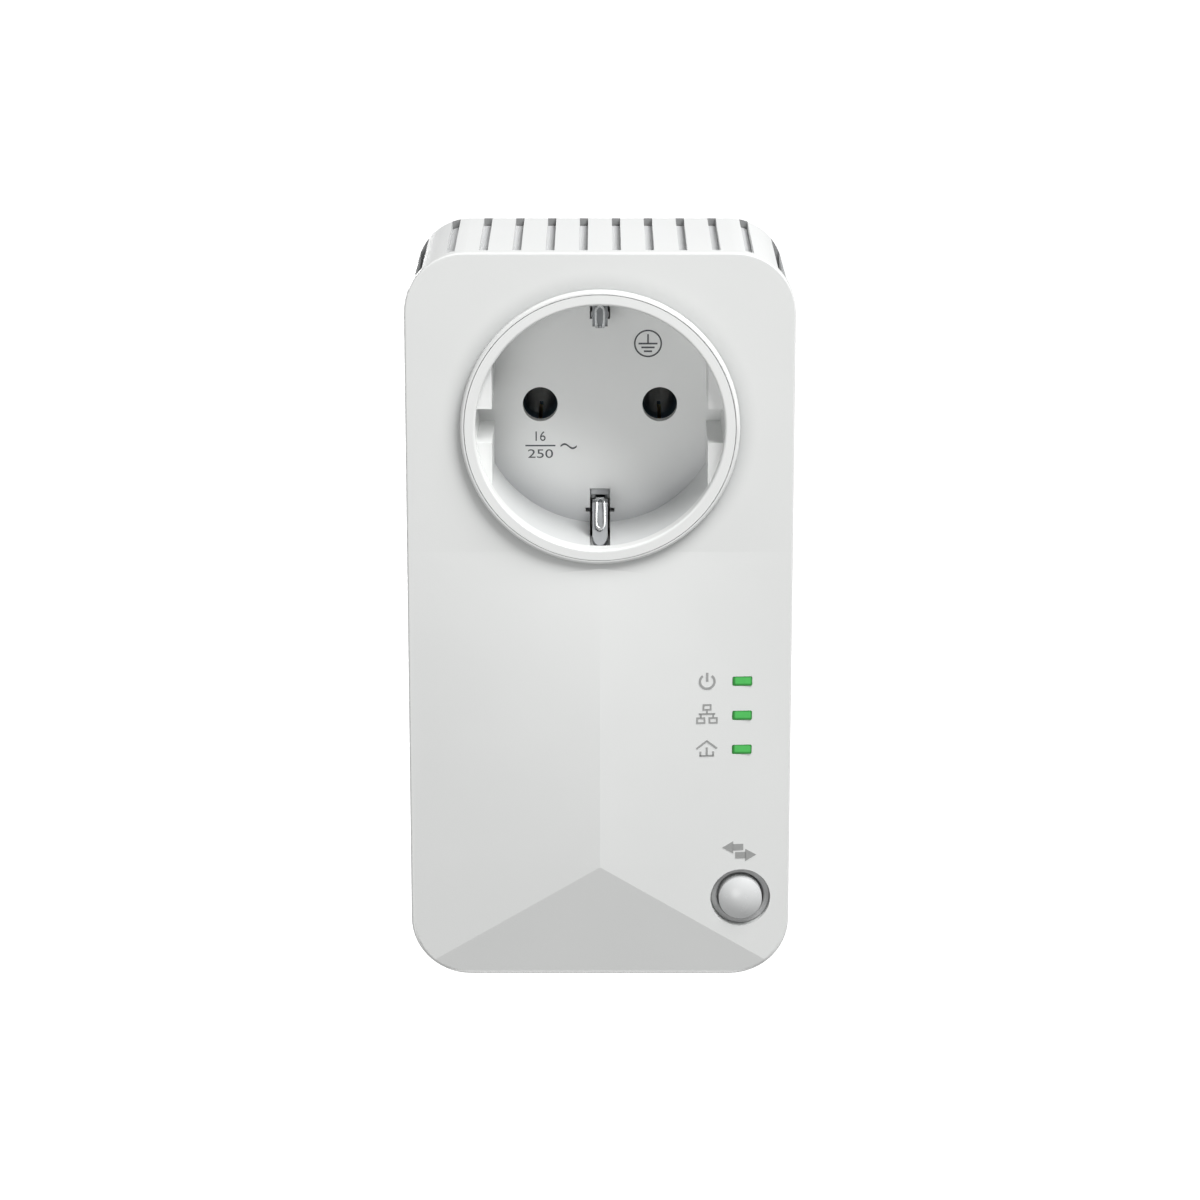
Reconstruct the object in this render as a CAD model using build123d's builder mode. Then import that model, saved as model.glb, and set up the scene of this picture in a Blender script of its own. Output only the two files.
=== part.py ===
from build123d import *
import math
import os

os.makedirs("parts", exist_ok=True)

# Powerline adapter with a pass-through mains socket, in millimetres.
# X is to the right, Y runs into the wall outlet and Z is up.
# The origin is the middle of the plug's flat face, on the axis that plug and socket share.

# ---------------------------------------------------------------- case, driving dimensions
case_width = 60.4
case_top_z = 27.4
case_bottom_z = -90.2
corner_radius = 9.4
rear_face_y = -17.5
panel_front_y = -53.0
panel_thickness = 2.3
panel_edge_rounding = 0.3
parting_gap = 0.1
housing_step = 0.3
housing_draft_deg = 0.5
housing_wall = 2.0
housing_inner_step = 2.6
rear_edge_rounding = 2.0

# ---------------------------------------------------------------- mains plug and socket
pin_pitch = 19.0
pin_x = pin_pitch / 2
pin_radius = 2.4
pin_length = 19.0
collar_height = 1.2
collar_outer_radius = 21.75
collar_lip_radius = 21.15
insert_flange_radius = 21.05
well_radius = 19.35
well_depth = 17.5
well_wall = 1.4
well_floor_thickness = 2.0
socket_hole_radius = 2.78
key_chord_x = 16.8
key_gap_half = 2.7
key_top_below_collar = 2.0
clip_slot_width = 3.2
clip_width = 2.4
clip_thickness = 0.5
plug_radius = 18.5
plug_flat_x = 16.4
plug_earth_recess_z = 16.6

# ---------------------------------------------------------------- front panel relief
facet_rise = 3.0
facet_start_z = -20.0
facet_apex_z = -71.1
facet_inset = 0.5

# ---------------------------------------------------------------- controls on the front
led_x = 22.45
led_z_positions = (-40.95, -46.56, -52.17)
window_width = 3.15
window_height = 1.55
window_rounding = 0.25
fine_gap = 0.05
button_x = 22.44
button_z = -77.0
button_hole_radius = 4.8
button_cap_radius = 3.45
button_travel = 0.6

# ---------------------------------------------------------------- vents
vent_pitch = 5.14
vent_count = 12
vent_width = 1.35
vent_skin = 1.1
baffle_depth = 1.45
baffle_thickness = 0.8
vent_floor_z = 14.0

# ---------------------------------------------------------------- boards
main_board_front_y = panel_front_y + 7.3
main_board_back_y = main_board_front_y + 1.2
power_board_front_y = -24.6
power_board_back_y = -23.0
board_half_width = 26.5
main_board_top_z = -27.0
main_board_bottom_z = -86.5
power_board_top_z = -25.5
power_board_bottom_z = -86.0

# ---------------------------------------------------------------- worked-out planes and places
case_height = case_top_z - case_bottom_z
case_mid_z = (case_top_z + case_bottom_z) / 2
beyond_case = 120.0
cut_margin = 0.1
panel_back_y = panel_front_y + panel_thickness
collar_front_y = panel_front_y - collar_height
well_floor_y = collar_front_y + well_depth
well_floor_back_y = well_floor_y + well_floor_thickness
well_outer_radius = well_radius + well_wall
housing_front_y = panel_back_y + parting_gap
housing_depth = rear_face_y - housing_front_y
rear_wall_y = rear_face_y - housing_wall
housing_draft_step = housing_depth * math.tan(math.radians(housing_draft_deg))
half_width = case_width / 2

upper_screw_place = (22.5, 19.5)
lower_screw_place = (23.9, -84.2)
case_screw_places = [
    (side * place[0], place[1])
    for place in (upper_screw_place, lower_screw_place)
    for side in (-1, 1)
]
insert_screw_x = 24.3
insert_screw_places = [(-insert_screw_x, 0.0), (insert_screw_x, 0.0)]
main_post_places = [(-23.5, -29.8), (23.5, -29.8), (-23.5, -64.0), (8.0, -82.0)]
power_post_places = [(-23.5, -29.5), (23.5, -29.5), (-23.5, -68.0), (23.5, -68.0)]
vent_places = [(index - (vent_count - 1) / 2) * vent_pitch for index in range(vent_count)]


def facing_front(y):
    """A plane across the case at depth y, seen from the front: its axes are the part's X and Z."""
    return Plane.XZ.offset(-y)


def facing_back(y):
    """The same plane seen from the wall side, so that an extrusion runs towards the wall."""
    return Plane(origin=(0, y, 0), x_dir=(-1, 0, 0), z_dir=(0, 1, 0))


def case_outline(inset, mode=Mode.ADD):
    """The case's rounded outline, drawn in from the front panel's edge by inset on every side."""
    with Locations((0, case_mid_z)):
        RectangleRounded(
            case_width - 2 * inset,
            case_height - 2 * inset,
            corner_radius - inset,
            mode=mode,
        )


def ridge_rise(z):
    """How far the middle ridge stands out at height z: it swells quickly and levels off at the apex."""
    share = (facet_start_z - z) / (facet_start_z - facet_apex_z)
    share = min(max(share, 0.0), 1.0)
    return facet_rise * share * (2 - share)


def panel_surface_y(x, z):
    """Depth of the front panel's face on the two side facets."""
    return panel_front_y - ridge_rise(z) * (1 - abs(x) / (half_width - facet_inset))


def save(builder, name):
    """Label a finished piece and write its file."""
    builder.part.label = name
    export_step(builder.part, f"parts/{name}.step")


# ================================================================ case
# The front panel is one moulding: a plate with softened edges, a low three-sided relief on its lower
# half, the collar around the socket, a locating lip and the screw bosses on its back.
lip_gap = 0.15
lip_inset = housing_step + housing_inner_step + lip_gap
lip_thickness = 1.0
lip_depth = 2.5
lip_top_z = 12.0
boss_radius = 2.7
boss_bore_radius = 1.3
boss_end_y = -26.0
insert_boss_end_y = panel_front_y + 11.5
post_radius = 2.4
post_bore_radius = 1.05
insert_boss_radius = 2.6
lip_relief_radius = 5.0
collar_root_depth = 0.5
collar_rim_rounding = 0.5
facet_steps = 6
facet_half = half_width - facet_inset
facet_bottom_z = case_bottom_z + facet_inset
facet_root_y = panel_front_y + 1.0
facet_cut_y = panel_front_y - facet_rise - 2.0
# A trace of height keeps the first section three-sided where the ridge starts from nothing.
ridge_trace = 0.001


def facet_section(rise):
    """The relief's cross-section in plan: flat at the back and peaked in the middle by rise."""
    Polygon(
        (-facet_half, facet_root_y),
        (facet_half, facet_root_y),
        (facet_half, panel_front_y),
        (0, panel_front_y - rise - ridge_trace),
        (-facet_half, panel_front_y),
        align=None,
    )


with BuildPart() as facets:
    # The two side facets meet in the middle ridge, which rises smoothly down to the apex.
    for step in range(facet_steps + 1):
        section_z = facet_start_z + (facet_apex_z - facet_start_z) * step / facet_steps
        with BuildSketch(Plane.XY.offset(section_z)):
            facet_section(ridge_rise(section_z))
    loft()
    # Below the apex the ridge keeps its height and the bottom facet cuts it off on a slope.
    with BuildSketch(Plane.XY.offset(facet_bottom_z)):
        facet_section(facet_rise)
    extrude(amount=facet_apex_z - facet_bottom_z)
    with BuildSketch(Plane.YZ):
        Polygon(
            (panel_front_y, facet_bottom_z),
            (panel_front_y - facet_rise, facet_apex_z),
            (facet_cut_y, facet_apex_z),
            (facet_cut_y, facet_bottom_z),
            align=None,
        )
    extrude(amount=half_width, both=True, mode=Mode.SUBTRACT)
    with BuildSketch(facing_front(facet_root_y)):
        case_outline(facet_inset)
    extrude(amount=facet_root_y - facet_cut_y, mode=Mode.INTERSECT)

with BuildPart() as front_panel:
    with BuildSketch(facing_front(panel_back_y)):
        case_outline(0)
    extrude(amount=panel_thickness)
    fillet(front_panel.faces().sort_by(Axis.Y)[0].edges(), panel_edge_rounding)
    add(facets.part)
    with BuildSketch(facing_front(panel_front_y + collar_root_depth)):
        Circle(collar_outer_radius)
    extrude(amount=collar_height + collar_root_depth)
    collar_rims = front_panel.edges().filter_by(lambda edge: edge.geom_type == GeomType.CIRCLE)
    collar_rims = collar_rims.filter_by(lambda edge: edge.radius > collar_lip_radius)
    fillet(collar_rims.sort_by(Axis.Y)[0], collar_rim_rounding)
    with BuildSketch(facing_front(panel_back_y)):
        case_outline(lip_inset)
        case_outline(lip_inset + lip_thickness, Mode.SUBTRACT)
        with Locations((0, lip_top_z + beyond_case / 2)):
            Rectangle(case_width, beyond_case, mode=Mode.SUBTRACT)
        with Locations((button_x, button_z)):
            Circle(lip_relief_radius, mode=Mode.SUBTRACT)
    extrude(amount=-lip_depth)
    with BuildSketch(facing_front(panel_back_y)):
        with Locations(*case_screw_places):
            Circle(boss_radius)
        case_outline(lip_inset, Mode.INTERSECT)
    extrude(amount=panel_back_y - boss_end_y)
    with BuildSketch(facing_front(panel_back_y)):
        with Locations(*insert_screw_places):
            Circle(insert_boss_radius)
    extrude(amount=panel_back_y - insert_boss_end_y)
    with BuildSketch(facing_front(panel_back_y)):
        with Locations(*main_post_places):
            Circle(post_radius)
    extrude(amount=panel_back_y - main_board_front_y)
    # The socket insert's hole, the light windows and the button's hole.
    with BuildSketch(facing_front(panel_back_y)):
        Circle(collar_lip_radius)
        with Locations((button_x, button_z)):
            Circle(button_hole_radius)
        with Locations(*[(led_x, z) for z in led_z_positions]):
            RectangleRounded(window_width, window_height, window_rounding)
    extrude(amount=panel_back_y - facet_cut_y, mode=Mode.SUBTRACT)
    # Screw bores in the bosses, open at their inner ends.
    with BuildSketch(facing_back(panel_back_y)):
        with Locations(*case_screw_places):
            Circle(boss_bore_radius)
    extrude(amount=boss_end_y - panel_back_y, mode=Mode.SUBTRACT)
    with BuildSketch(facing_back(panel_back_y)):
        with Locations(*insert_screw_places):
            Circle(boss_bore_radius)
    extrude(amount=insert_boss_end_y - panel_back_y, mode=Mode.SUBTRACT)
    with BuildSketch(facing_back(panel_back_y)):
        with Locations(*[(-x, z) for x, z in main_post_places]):
            Circle(post_bore_radius)
    extrude(amount=main_board_front_y - panel_back_y, mode=Mode.SUBTRACT)
save(front_panel, "front_panel")

# The rear housing is a deep drafted tub with a rounded rear edge. Its top is thinned where the vents
# pass through, and it holds the plug, the screw tubes and the board posts.
screw_tube_radius = 3.2
screw_tube_front_y = -25.9
screw_tube_floor = 1.6
screw_head_recess_radius = 2.6
screw_clearance_radius = 1.5
plug_hole_gap = 0.15
plug_hole_radius = plug_radius + plug_hole_gap
jack_x = -10.0
jack_middle_y = main_board_back_y + 6.7
jack_width = 16.0
jack_height = 13.4
reset_x = 16.0
reset_y = main_board_back_y + 1.75
jack_opening_gap = 0.2
reset_hole_radius = 0.8
bottom_vent_y = panel_front_y + 15.5
bottom_vent_places = [(x, bottom_vent_y) for x in (4.0, 7.0, 20.0, 23.0)]
bottom_vent_length = 14.0
bottom_vent_width = 1.2
bottom_cut_height = 6.0
vent_cut_height = 9.0
vent_cut_bottom_z = case_top_z - 8.8
vent_end_y = rear_wall_y + 0.4
label_size = (34.0, 26.0)
label_z = -56.0
label_rounding = 1.2
label_side_gap = 0.3
label_recess = 0.2
label_sunk = 0.05
post_bore_floor = 0.6

with BuildPart() as rear_housing:
    with BuildSketch(facing_back(housing_front_y)):
        case_outline(housing_step)
    extrude(amount=housing_depth, taper=housing_draft_deg)
    fillet(rear_housing.faces().sort_by(Axis.Y)[-1].edges(), rear_edge_rounding)
    with BuildSketch(facing_back(housing_front_y)):
        case_outline(housing_step + housing_inner_step)
    extrude(amount=housing_depth - housing_wall, mode=Mode.SUBTRACT)
    # The thin-skinned arch behind the vents.
    with BuildSketch(facing_back(housing_front_y)):
        case_outline(housing_step + housing_draft_step + vent_skin)
        with Locations((0, vent_floor_z - beyond_case / 2)):
            Rectangle(case_width, beyond_case, mode=Mode.SUBTRACT)
    extrude(amount=housing_depth - housing_wall, mode=Mode.SUBTRACT)
    # Vent slots, all cut straight down and open at the parting line.
    with BuildSketch(facing_back(housing_front_y)):
        with Locations(*[(x, vent_cut_bottom_z) for x in vent_places]):
            Rectangle(vent_width, vent_cut_height, align=(Align.CENTER, Align.MIN))
    extrude(amount=vent_end_y - housing_front_y, mode=Mode.SUBTRACT)
    # Openings: the plug, the network jack, the reset pinhole and the lower air slots.
    with BuildSketch(facing_back(rear_wall_y - cut_margin)):
        Circle(plug_hole_radius)
    extrude(amount=housing_wall + 2 * cut_margin, mode=Mode.SUBTRACT)
    with BuildSketch(Plane.XY.offset(case_bottom_z)):
        with Locations((jack_x, jack_middle_y)):
            Rectangle(jack_width + 2 * jack_opening_gap, jack_height + 2 * jack_opening_gap)
        with Locations((reset_x, reset_y)):
            Circle(reset_hole_radius)
        with Locations(*bottom_vent_places):
            SlotOverall(bottom_vent_length, bottom_vent_width, rotation=90)
    extrude(amount=bottom_cut_height, mode=Mode.SUBTRACT)
    # The shallow recess for the rating label on the wall side.
    with BuildSketch(facing_back(rear_face_y - label_recess)):
        with Locations((0, label_z)):
            RectangleRounded(
                label_size[0] + 2 * label_side_gap,
                label_size[1] + 2 * label_side_gap,
                label_rounding + label_side_gap,
            )
    extrude(amount=label_recess + cut_margin, mode=Mode.SUBTRACT)
    # Screw tubes rise from the rear wall to the panel's bosses and hold the screw heads deep inside.
    with BuildSketch(facing_front(rear_wall_y)):
        with Locations(*case_screw_places):
            Circle(screw_tube_radius)
    extrude(amount=rear_wall_y - screw_tube_front_y)
    with BuildSketch(facing_front(rear_wall_y)):
        with Locations(*power_post_places):
            Circle(post_radius)
    extrude(amount=rear_wall_y - power_board_back_y)
    with BuildSketch(facing_front(rear_face_y)):
        with Locations(*case_screw_places):
            Circle(screw_head_recess_radius)
    extrude(amount=rear_face_y - screw_tube_front_y - screw_tube_floor, mode=Mode.SUBTRACT)
    with BuildSketch(facing_front(rear_face_y)):
        with Locations(*case_screw_places):
            Circle(screw_clearance_radius)
    extrude(amount=rear_face_y - screw_tube_front_y + cut_margin, mode=Mode.SUBTRACT)
    with BuildSketch(facing_front(rear_wall_y - post_bore_floor)):
        with Locations(*power_post_places):
            Circle(post_bore_radius)
    extrude(amount=rear_wall_y - power_board_back_y, mode=Mode.SUBTRACT)
    # Nothing of the tubes may stand outside the drafted walls.
    with BuildSketch(facing_back(housing_front_y)):
        case_outline(housing_step)
    extrude(amount=housing_depth, taper=housing_draft_deg, mode=Mode.INTERSECT)
save(rear_housing, "rear_housing")

# An arched baffle lies just under the vents, so that air passes but nothing can be pushed in.
baffle_inset = housing_step + baffle_depth
baffle_front_y = housing_front_y + 0.2
baffle_end_y = rear_wall_y - 0.3
baffle_end_gap = 0.05

with BuildPart() as vent_baffle:
    with BuildSketch(facing_back(baffle_front_y)):
        case_outline(baffle_inset)
        case_outline(baffle_inset + baffle_thickness, Mode.SUBTRACT)
        with Locations((0, vent_floor_z + baffle_end_gap - beyond_case / 2)):
            Rectangle(case_width, beyond_case, mode=Mode.SUBTRACT)
    extrude(amount=baffle_end_y - baffle_front_y)
save(vent_baffle, "vent_baffle")

# The rating label is a thin film in its shallow recess.
with BuildPart() as rating_label:
    with BuildSketch(facing_back(rear_face_y - label_recess)):
        with Locations((0, label_z)):
            RectangleRounded(*label_size, label_rounding)
    extrude(amount=label_recess - label_sunk)
save(rating_label, "rating_label")

# Four long screws come in from the wall side and bite in the panel's bosses.
case_screw_head_radius = 2.3
case_screw_head_height = 1.7
case_screw_head_chamfer = 0.35
case_screw_radius = 1.25
case_screw_reach = 11.0
case_cross = (2.6, 0.6)
case_cross_depth = 1.0
case_screw_head_y = screw_tube_front_y + screw_tube_floor

with BuildPart() as case_screws:
    with BuildSketch(facing_back(case_screw_head_y)):
        with Locations(*case_screw_places):
            Circle(case_screw_head_radius)
    extrude(amount=case_screw_head_height)
    chamfer(case_screws.faces().group_by(Axis.Y)[-1].edges(), case_screw_head_chamfer)
    with BuildSketch(facing_back(case_screw_head_y + case_screw_head_height)):
        with Locations(*case_screw_places):
            Rectangle(*case_cross)
            Rectangle(*case_cross, rotation=90)
    extrude(amount=-case_cross_depth, mode=Mode.SUBTRACT)
    with BuildSketch(facing_front(case_screw_head_y)):
        with Locations(*case_screw_places):
            Circle(case_screw_radius)
    extrude(amount=case_screw_reach)
save(case_screws, "case_screws")

# ================================================================ socket
# The socket insert is the round well: flange, wall, side keys, floor and the boxes behind the earth slots.
insert_flange_thickness = 2.0
ear_front_y = insert_boss_end_y
ear_thickness = 2.0
ear_web_x = 22.2
ear_web_width = 4.2
channel_bottom_z = 18.0
channel_top_z = 22.1
channel_box_bottom_z = 19.0
channel_box_top_z = 23.0
channel_box_width = 5.6
channel_front_y = panel_back_y + 0.2
channel_skin = 0.8
key_root_depth = 0.3
slot_front_y = collar_front_y + 2.6
wall_slot_z = 19.0
wall_slot_height = 3.0
wall_slot_depth = 4.0
floor_slot_z = 16.4
floor_slot_height = 5.2
notch_z = 17.3
notch_width = 4.6
notch_height = 0.7
mouth_rounding = 0.4

with BuildPart() as socket_insert:
    with BuildSketch(facing_back(collar_front_y)):
        Circle(insert_flange_radius)
    extrude(amount=insert_flange_thickness)
    with BuildSketch(facing_back(collar_front_y)):
        Circle(well_outer_radius)
    extrude(amount=well_depth + well_floor_thickness)
    # Boxes around the earth clips' slots, and the two screw ears.
    with BuildSketch(facing_back(channel_front_y)):
        with Locations(*[(0, side * (channel_box_bottom_z + channel_box_top_z) / 2) for side in (-1, 1)]):
            Rectangle(channel_box_width, channel_box_top_z - channel_box_bottom_z)
    extrude(amount=well_floor_back_y - channel_front_y)
    with BuildSketch(facing_back(ear_front_y)):
        with Locations(*insert_screw_places):
            Circle(insert_boss_radius)
        with Locations((-ear_web_x, 0), (ear_web_x, 0)):
            Rectangle(ear_web_width, 2 * insert_boss_radius)
    extrude(amount=ear_thickness)
    # The well, with its two pairs of side keys left standing.
    with BuildSketch(facing_back(collar_front_y)):
        Circle(well_radius)
    extrude(amount=well_depth, mode=Mode.SUBTRACT)
    with BuildSketch(facing_front(well_floor_y)):
        Circle(well_radius + key_root_depth)
        Rectangle(2 * key_chord_x, 2 * well_outer_radius, mode=Mode.SUBTRACT)
        Rectangle(2 * well_outer_radius, 2 * key_gap_half, mode=Mode.SUBTRACT)
    extrude(amount=well_depth - key_top_below_collar)
    # Earth slots through the floor and up the wall, pin holes and ear holes.
    with BuildSketch(facing_back(slot_front_y)):
        with Locations((0, wall_slot_z), (0, -wall_slot_z)):
            Rectangle(clip_slot_width, wall_slot_height)
    extrude(amount=wall_slot_depth, mode=Mode.SUBTRACT)
    with BuildSketch(facing_back(channel_front_y + channel_skin)):
        with Locations(*[(0, side * (channel_bottom_z + channel_top_z) / 2) for side in (-1, 1)]):
            Rectangle(clip_slot_width, channel_top_z - channel_bottom_z)
    extrude(amount=well_floor_back_y - channel_front_y, mode=Mode.SUBTRACT)
    with BuildSketch(facing_back(well_floor_y - cut_margin)):
        with Locations((0, floor_slot_z), (0, -floor_slot_z)):
            Rectangle(clip_slot_width, floor_slot_height)
        with Locations((0, notch_z), (0, -notch_z)):
            Rectangle(notch_width, notch_height)
        with Locations((-pin_x, 0), (pin_x, 0)):
            Circle(socket_hole_radius)
    extrude(amount=well_floor_thickness + 2 * cut_margin, mode=Mode.SUBTRACT)
    with BuildSketch(facing_back(ear_front_y)):
        with Locations(*insert_screw_places):
            Circle(screw_clearance_radius)
    extrude(amount=ear_thickness, mode=Mode.SUBTRACT)
    well_mouth = socket_insert.edges().filter_by(GeomType.CIRCLE).group_by(Axis.Y)[0]
    fillet(well_mouth.filter_by(lambda edge: edge.radius < well_outer_radius), mouth_rounding)
save(socket_insert, "socket_insert")

# Two short screws hold the insert's ears to the panel.
insert_screw_head_radius = 2.2
insert_screw_head_height = 1.4
insert_screw_reach = 8.5
insert_cross = (2.4, 0.55)
insert_cross_depth = 0.8
insert_screw_head_y = ear_front_y + ear_thickness

with BuildPart() as insert_screws:
    with BuildSketch(facing_back(insert_screw_head_y)):
        with Locations(*insert_screw_places):
            Circle(insert_screw_head_radius)
    extrude(amount=insert_screw_head_height)
    with BuildSketch(facing_back(insert_screw_head_y + insert_screw_head_height)):
        with Locations(*insert_screw_places):
            Rectangle(*insert_cross)
            Rectangle(*insert_cross, rotation=90)
    extrude(amount=-insert_cross_depth, mode=Mode.SUBTRACT)
    with BuildSketch(facing_front(insert_screw_head_y)):
        with Locations(*insert_screw_places):
            Circle(case_screw_radius)
    extrude(amount=insert_screw_reach)
save(insert_screws, "insert_screws")

# Each socket contact is a split spring sleeve behind a pin hole. The outlet pin's tail sits in its rear end.
sleeve_front_y = well_floor_back_y + 0.2
sleeve_rear_y = -11.0
sleeve_outer_radius = 3.0
sleeve_bore_radius = 2.45
sleeve_mouth_radius = 2.85
sleeve_mouth_depth = 2.5
sleeve_slit = 0.6
sleeve_slit_length = 11.0

for side, sleeve_name in ((-1, "contact_sleeve_left"), (1, "contact_sleeve_right")):
    with BuildPart() as contact_sleeve:
        with BuildSketch(facing_back(sleeve_front_y)):
            with Locations((-side * pin_x, 0)):
                Circle(sleeve_outer_radius)
                Circle(sleeve_bore_radius, mode=Mode.SUBTRACT)
        extrude(amount=sleeve_rear_y - sleeve_front_y)
        with BuildSketch(facing_back(sleeve_front_y)):
            with Locations((-side * pin_x, 0)):
                Circle(sleeve_mouth_radius)
        with BuildSketch(facing_back(sleeve_front_y + sleeve_mouth_depth)):
            with Locations((-side * pin_x, 0)):
                Circle(sleeve_bore_radius)
        loft(mode=Mode.SUBTRACT)
        with BuildSketch(facing_back(sleeve_front_y)):
            with Locations((-side * pin_x, 0)):
                Rectangle(sleeve_slit, 2 * (sleeve_outer_radius + cut_margin))
        extrude(amount=sleeve_slit_length, mode=Mode.SUBTRACT)
    save(contact_sleeve, sleeve_name)

# The outlet pins: a rounded 4.8 mm shank, a thicker root moulded in the plug and a tail for the sleeve.
pin_root_radius = 2.7
pin_root_front_y = -9.0
pin_root_end_y = 0.0
pin_tail_y = -13.8
pin_collar_radius = 3.6
pin_tip_rounding = 2.0

for side, pin_name in ((-1, "plug_pin_left"), (1, "plug_pin_right")):
    with BuildPart() as plug_pin:
        with BuildSketch(facing_back(pin_root_end_y)):
            with Locations((-side * pin_x, 0)):
                Circle(pin_radius)
        extrude(amount=pin_length - pin_root_end_y)
        fillet(plug_pin.faces().sort_by(Axis.Y)[-1].edges(), pin_tip_rounding)
        with BuildSketch(facing_back(pin_root_front_y)):
            with Locations((-side * pin_x, 0)):
                Circle(pin_root_radius)
        extrude(amount=pin_root_end_y - pin_root_front_y)
        with BuildSketch(facing_back(sleeve_rear_y)):
            with Locations((-side * pin_x, 0)):
                Circle(pin_collar_radius)
        extrude(amount=pin_root_front_y - sleeve_rear_y)
        with BuildSketch(facing_back(pin_tail_y)):
            with Locations((-side * pin_x, 0)):
                Circle(pin_radius)
        extrude(amount=sleeve_rear_y - pin_tail_y)
    save(plug_pin, pin_name)

# The plug body: a round insulating boss with flats and ribs at the sides, earth recesses at top and bottom,
# and deep pockets behind for the contact sleeves.
plug_flange_radius = 20.2
plug_flange_back_y = rear_wall_y - 0.1
plug_flange_thickness = 1.5
plug_inner_y = plug_flange_back_y - plug_flange_thickness
plug_rib_half = 2.45
plug_rib_radius = 18.1
pocket_radius = 4.2
plug_edge_rounding = 0.8
plug_round_end_y = rear_face_y + 0.5
plug_trim_radius = plug_radius + 1.0
earth_recess_width = 7.0
earth_recess_height = 5.0
root_gap = 0.02

with BuildPart() as plug_body:
    with BuildSketch(facing_back(plug_inner_y)):
        Circle(plug_radius)
    extrude(amount=-plug_inner_y)
    fillet(plug_body.faces().sort_by(Axis.Y)[-1].edges(), plug_edge_rounding)
    with BuildSketch(facing_back(plug_round_end_y)):
        Circle(plug_trim_radius)
        Rectangle(2 * plug_flat_x, 2 * plug_trim_radius, mode=Mode.SUBTRACT)
        Rectangle(2 * plug_rib_radius, 2 * plug_rib_half, mode=Mode.SUBTRACT)
    extrude(amount=-rear_face_y, mode=Mode.SUBTRACT)
    with BuildSketch(facing_back(plug_inner_y)):
        Circle(plug_flange_radius)
    extrude(amount=plug_flange_thickness)
    with BuildSketch(facing_back(plug_inner_y)):
        with Locations(*[(0, side * (plug_earth_recess_z + earth_recess_height / 2)) for side in (-1, 1)]):
            Rectangle(earth_recess_width, earth_recess_height)
    extrude(amount=-plug_inner_y, mode=Mode.SUBTRACT)
    with BuildSketch(facing_back(plug_inner_y)):
        with Locations((-pin_x, 0), (pin_x, 0)):
            Circle(pocket_radius)
    extrude(amount=pin_root_front_y - plug_inner_y, mode=Mode.SUBTRACT)
    with BuildSketch(facing_back(pin_root_front_y)):
        with Locations((-pin_x, 0), (pin_x, 0)):
            Circle(pin_root_radius + root_gap)
    extrude(amount=-pin_root_front_y, mode=Mode.SUBTRACT)
save(plug_body, "plug_body")

# ================================================================ earth path
# A bracket runs across behind the socket floor, between the sleeves, with short arms towards the clips.
bracket_front_y = well_floor_back_y + 6.6
bracket_thickness = 0.8
bracket_width = 5.0
bracket_reach_z = 17.4
arm_front_y = bracket_front_y - 2.6
arm_z = 14.9
arm_width = 3.6
arm_thickness = 0.8

with BuildPart() as earth_bracket:
    with BuildSketch(facing_back(bracket_front_y)):
        Rectangle(bracket_width, 2 * bracket_reach_z)
    extrude(amount=bracket_thickness)
    with BuildSketch(facing_front(bracket_front_y)):
        with Locations((0, arm_z), (0, -arm_z)):
            Rectangle(arm_width, arm_thickness)
    extrude(amount=bracket_front_y - arm_front_y)
save(earth_bracket, "earth_bracket")

earth_strip_width = 5.0
earth_strip_thickness = 0.6
earth_strip_end_y = -1.0
earth_strip_gap = 0.05
earth_strip_chamfer = 0.2
earth_strip_front_y = bracket_front_y + bracket_thickness
earth_strip_z = plug_earth_recess_z + earth_strip_gap + earth_strip_thickness / 2

for side, strip_name in ((1, "plug_earth_strip_top"), (-1, "plug_earth_strip_bottom")):
    with BuildPart() as plug_earth_strip:
        with BuildSketch(facing_back(earth_strip_front_y)):
            with Locations((0, side * earth_strip_z)):
                Rectangle(earth_strip_width, earth_strip_thickness)
        extrude(amount=earth_strip_end_y - earth_strip_front_y)
        strip_end_edges = plug_earth_strip.faces().sort_by(Axis.Y)[-1].edges()
        chamfer(strip_end_edges.filter_by(Axis.X), earth_strip_chamfer)
    save(plug_earth_strip, strip_name)

# The socket's two earth clips are bent leaf springs with a hump that presses on a plug's earth strip. Each
# has a narrow neck where it comes through the well's floor, and a round nose.
clip_root_y = arm_front_y - 0.4
clip_neck_y = clip_root_y - 4.8
clip_crest_y = clip_root_y - 12.5
clip_nose_y = clip_root_y - 17.0
clip_root_z = 15.3
clip_crest_z = 13.9
clip_nose_z = 20.5
clip_path = [
    (clip_root_y, clip_root_z),
    (clip_neck_y, clip_root_z + 0.2),
    (clip_neck_y - 2.6, clip_root_z + 1.4),
    (clip_crest_y, clip_crest_z),
    (clip_crest_y - 2.8, clip_nose_z - 2.3),
    (clip_nose_y, clip_nose_z),
]
clip_bend_radius = 0.9
clip_neck_width = 1.5
clip_neck_length = 1.6
clip_plan_length = clip_root_y - clip_nose_y + 2 * cut_margin + clip_thickness

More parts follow.
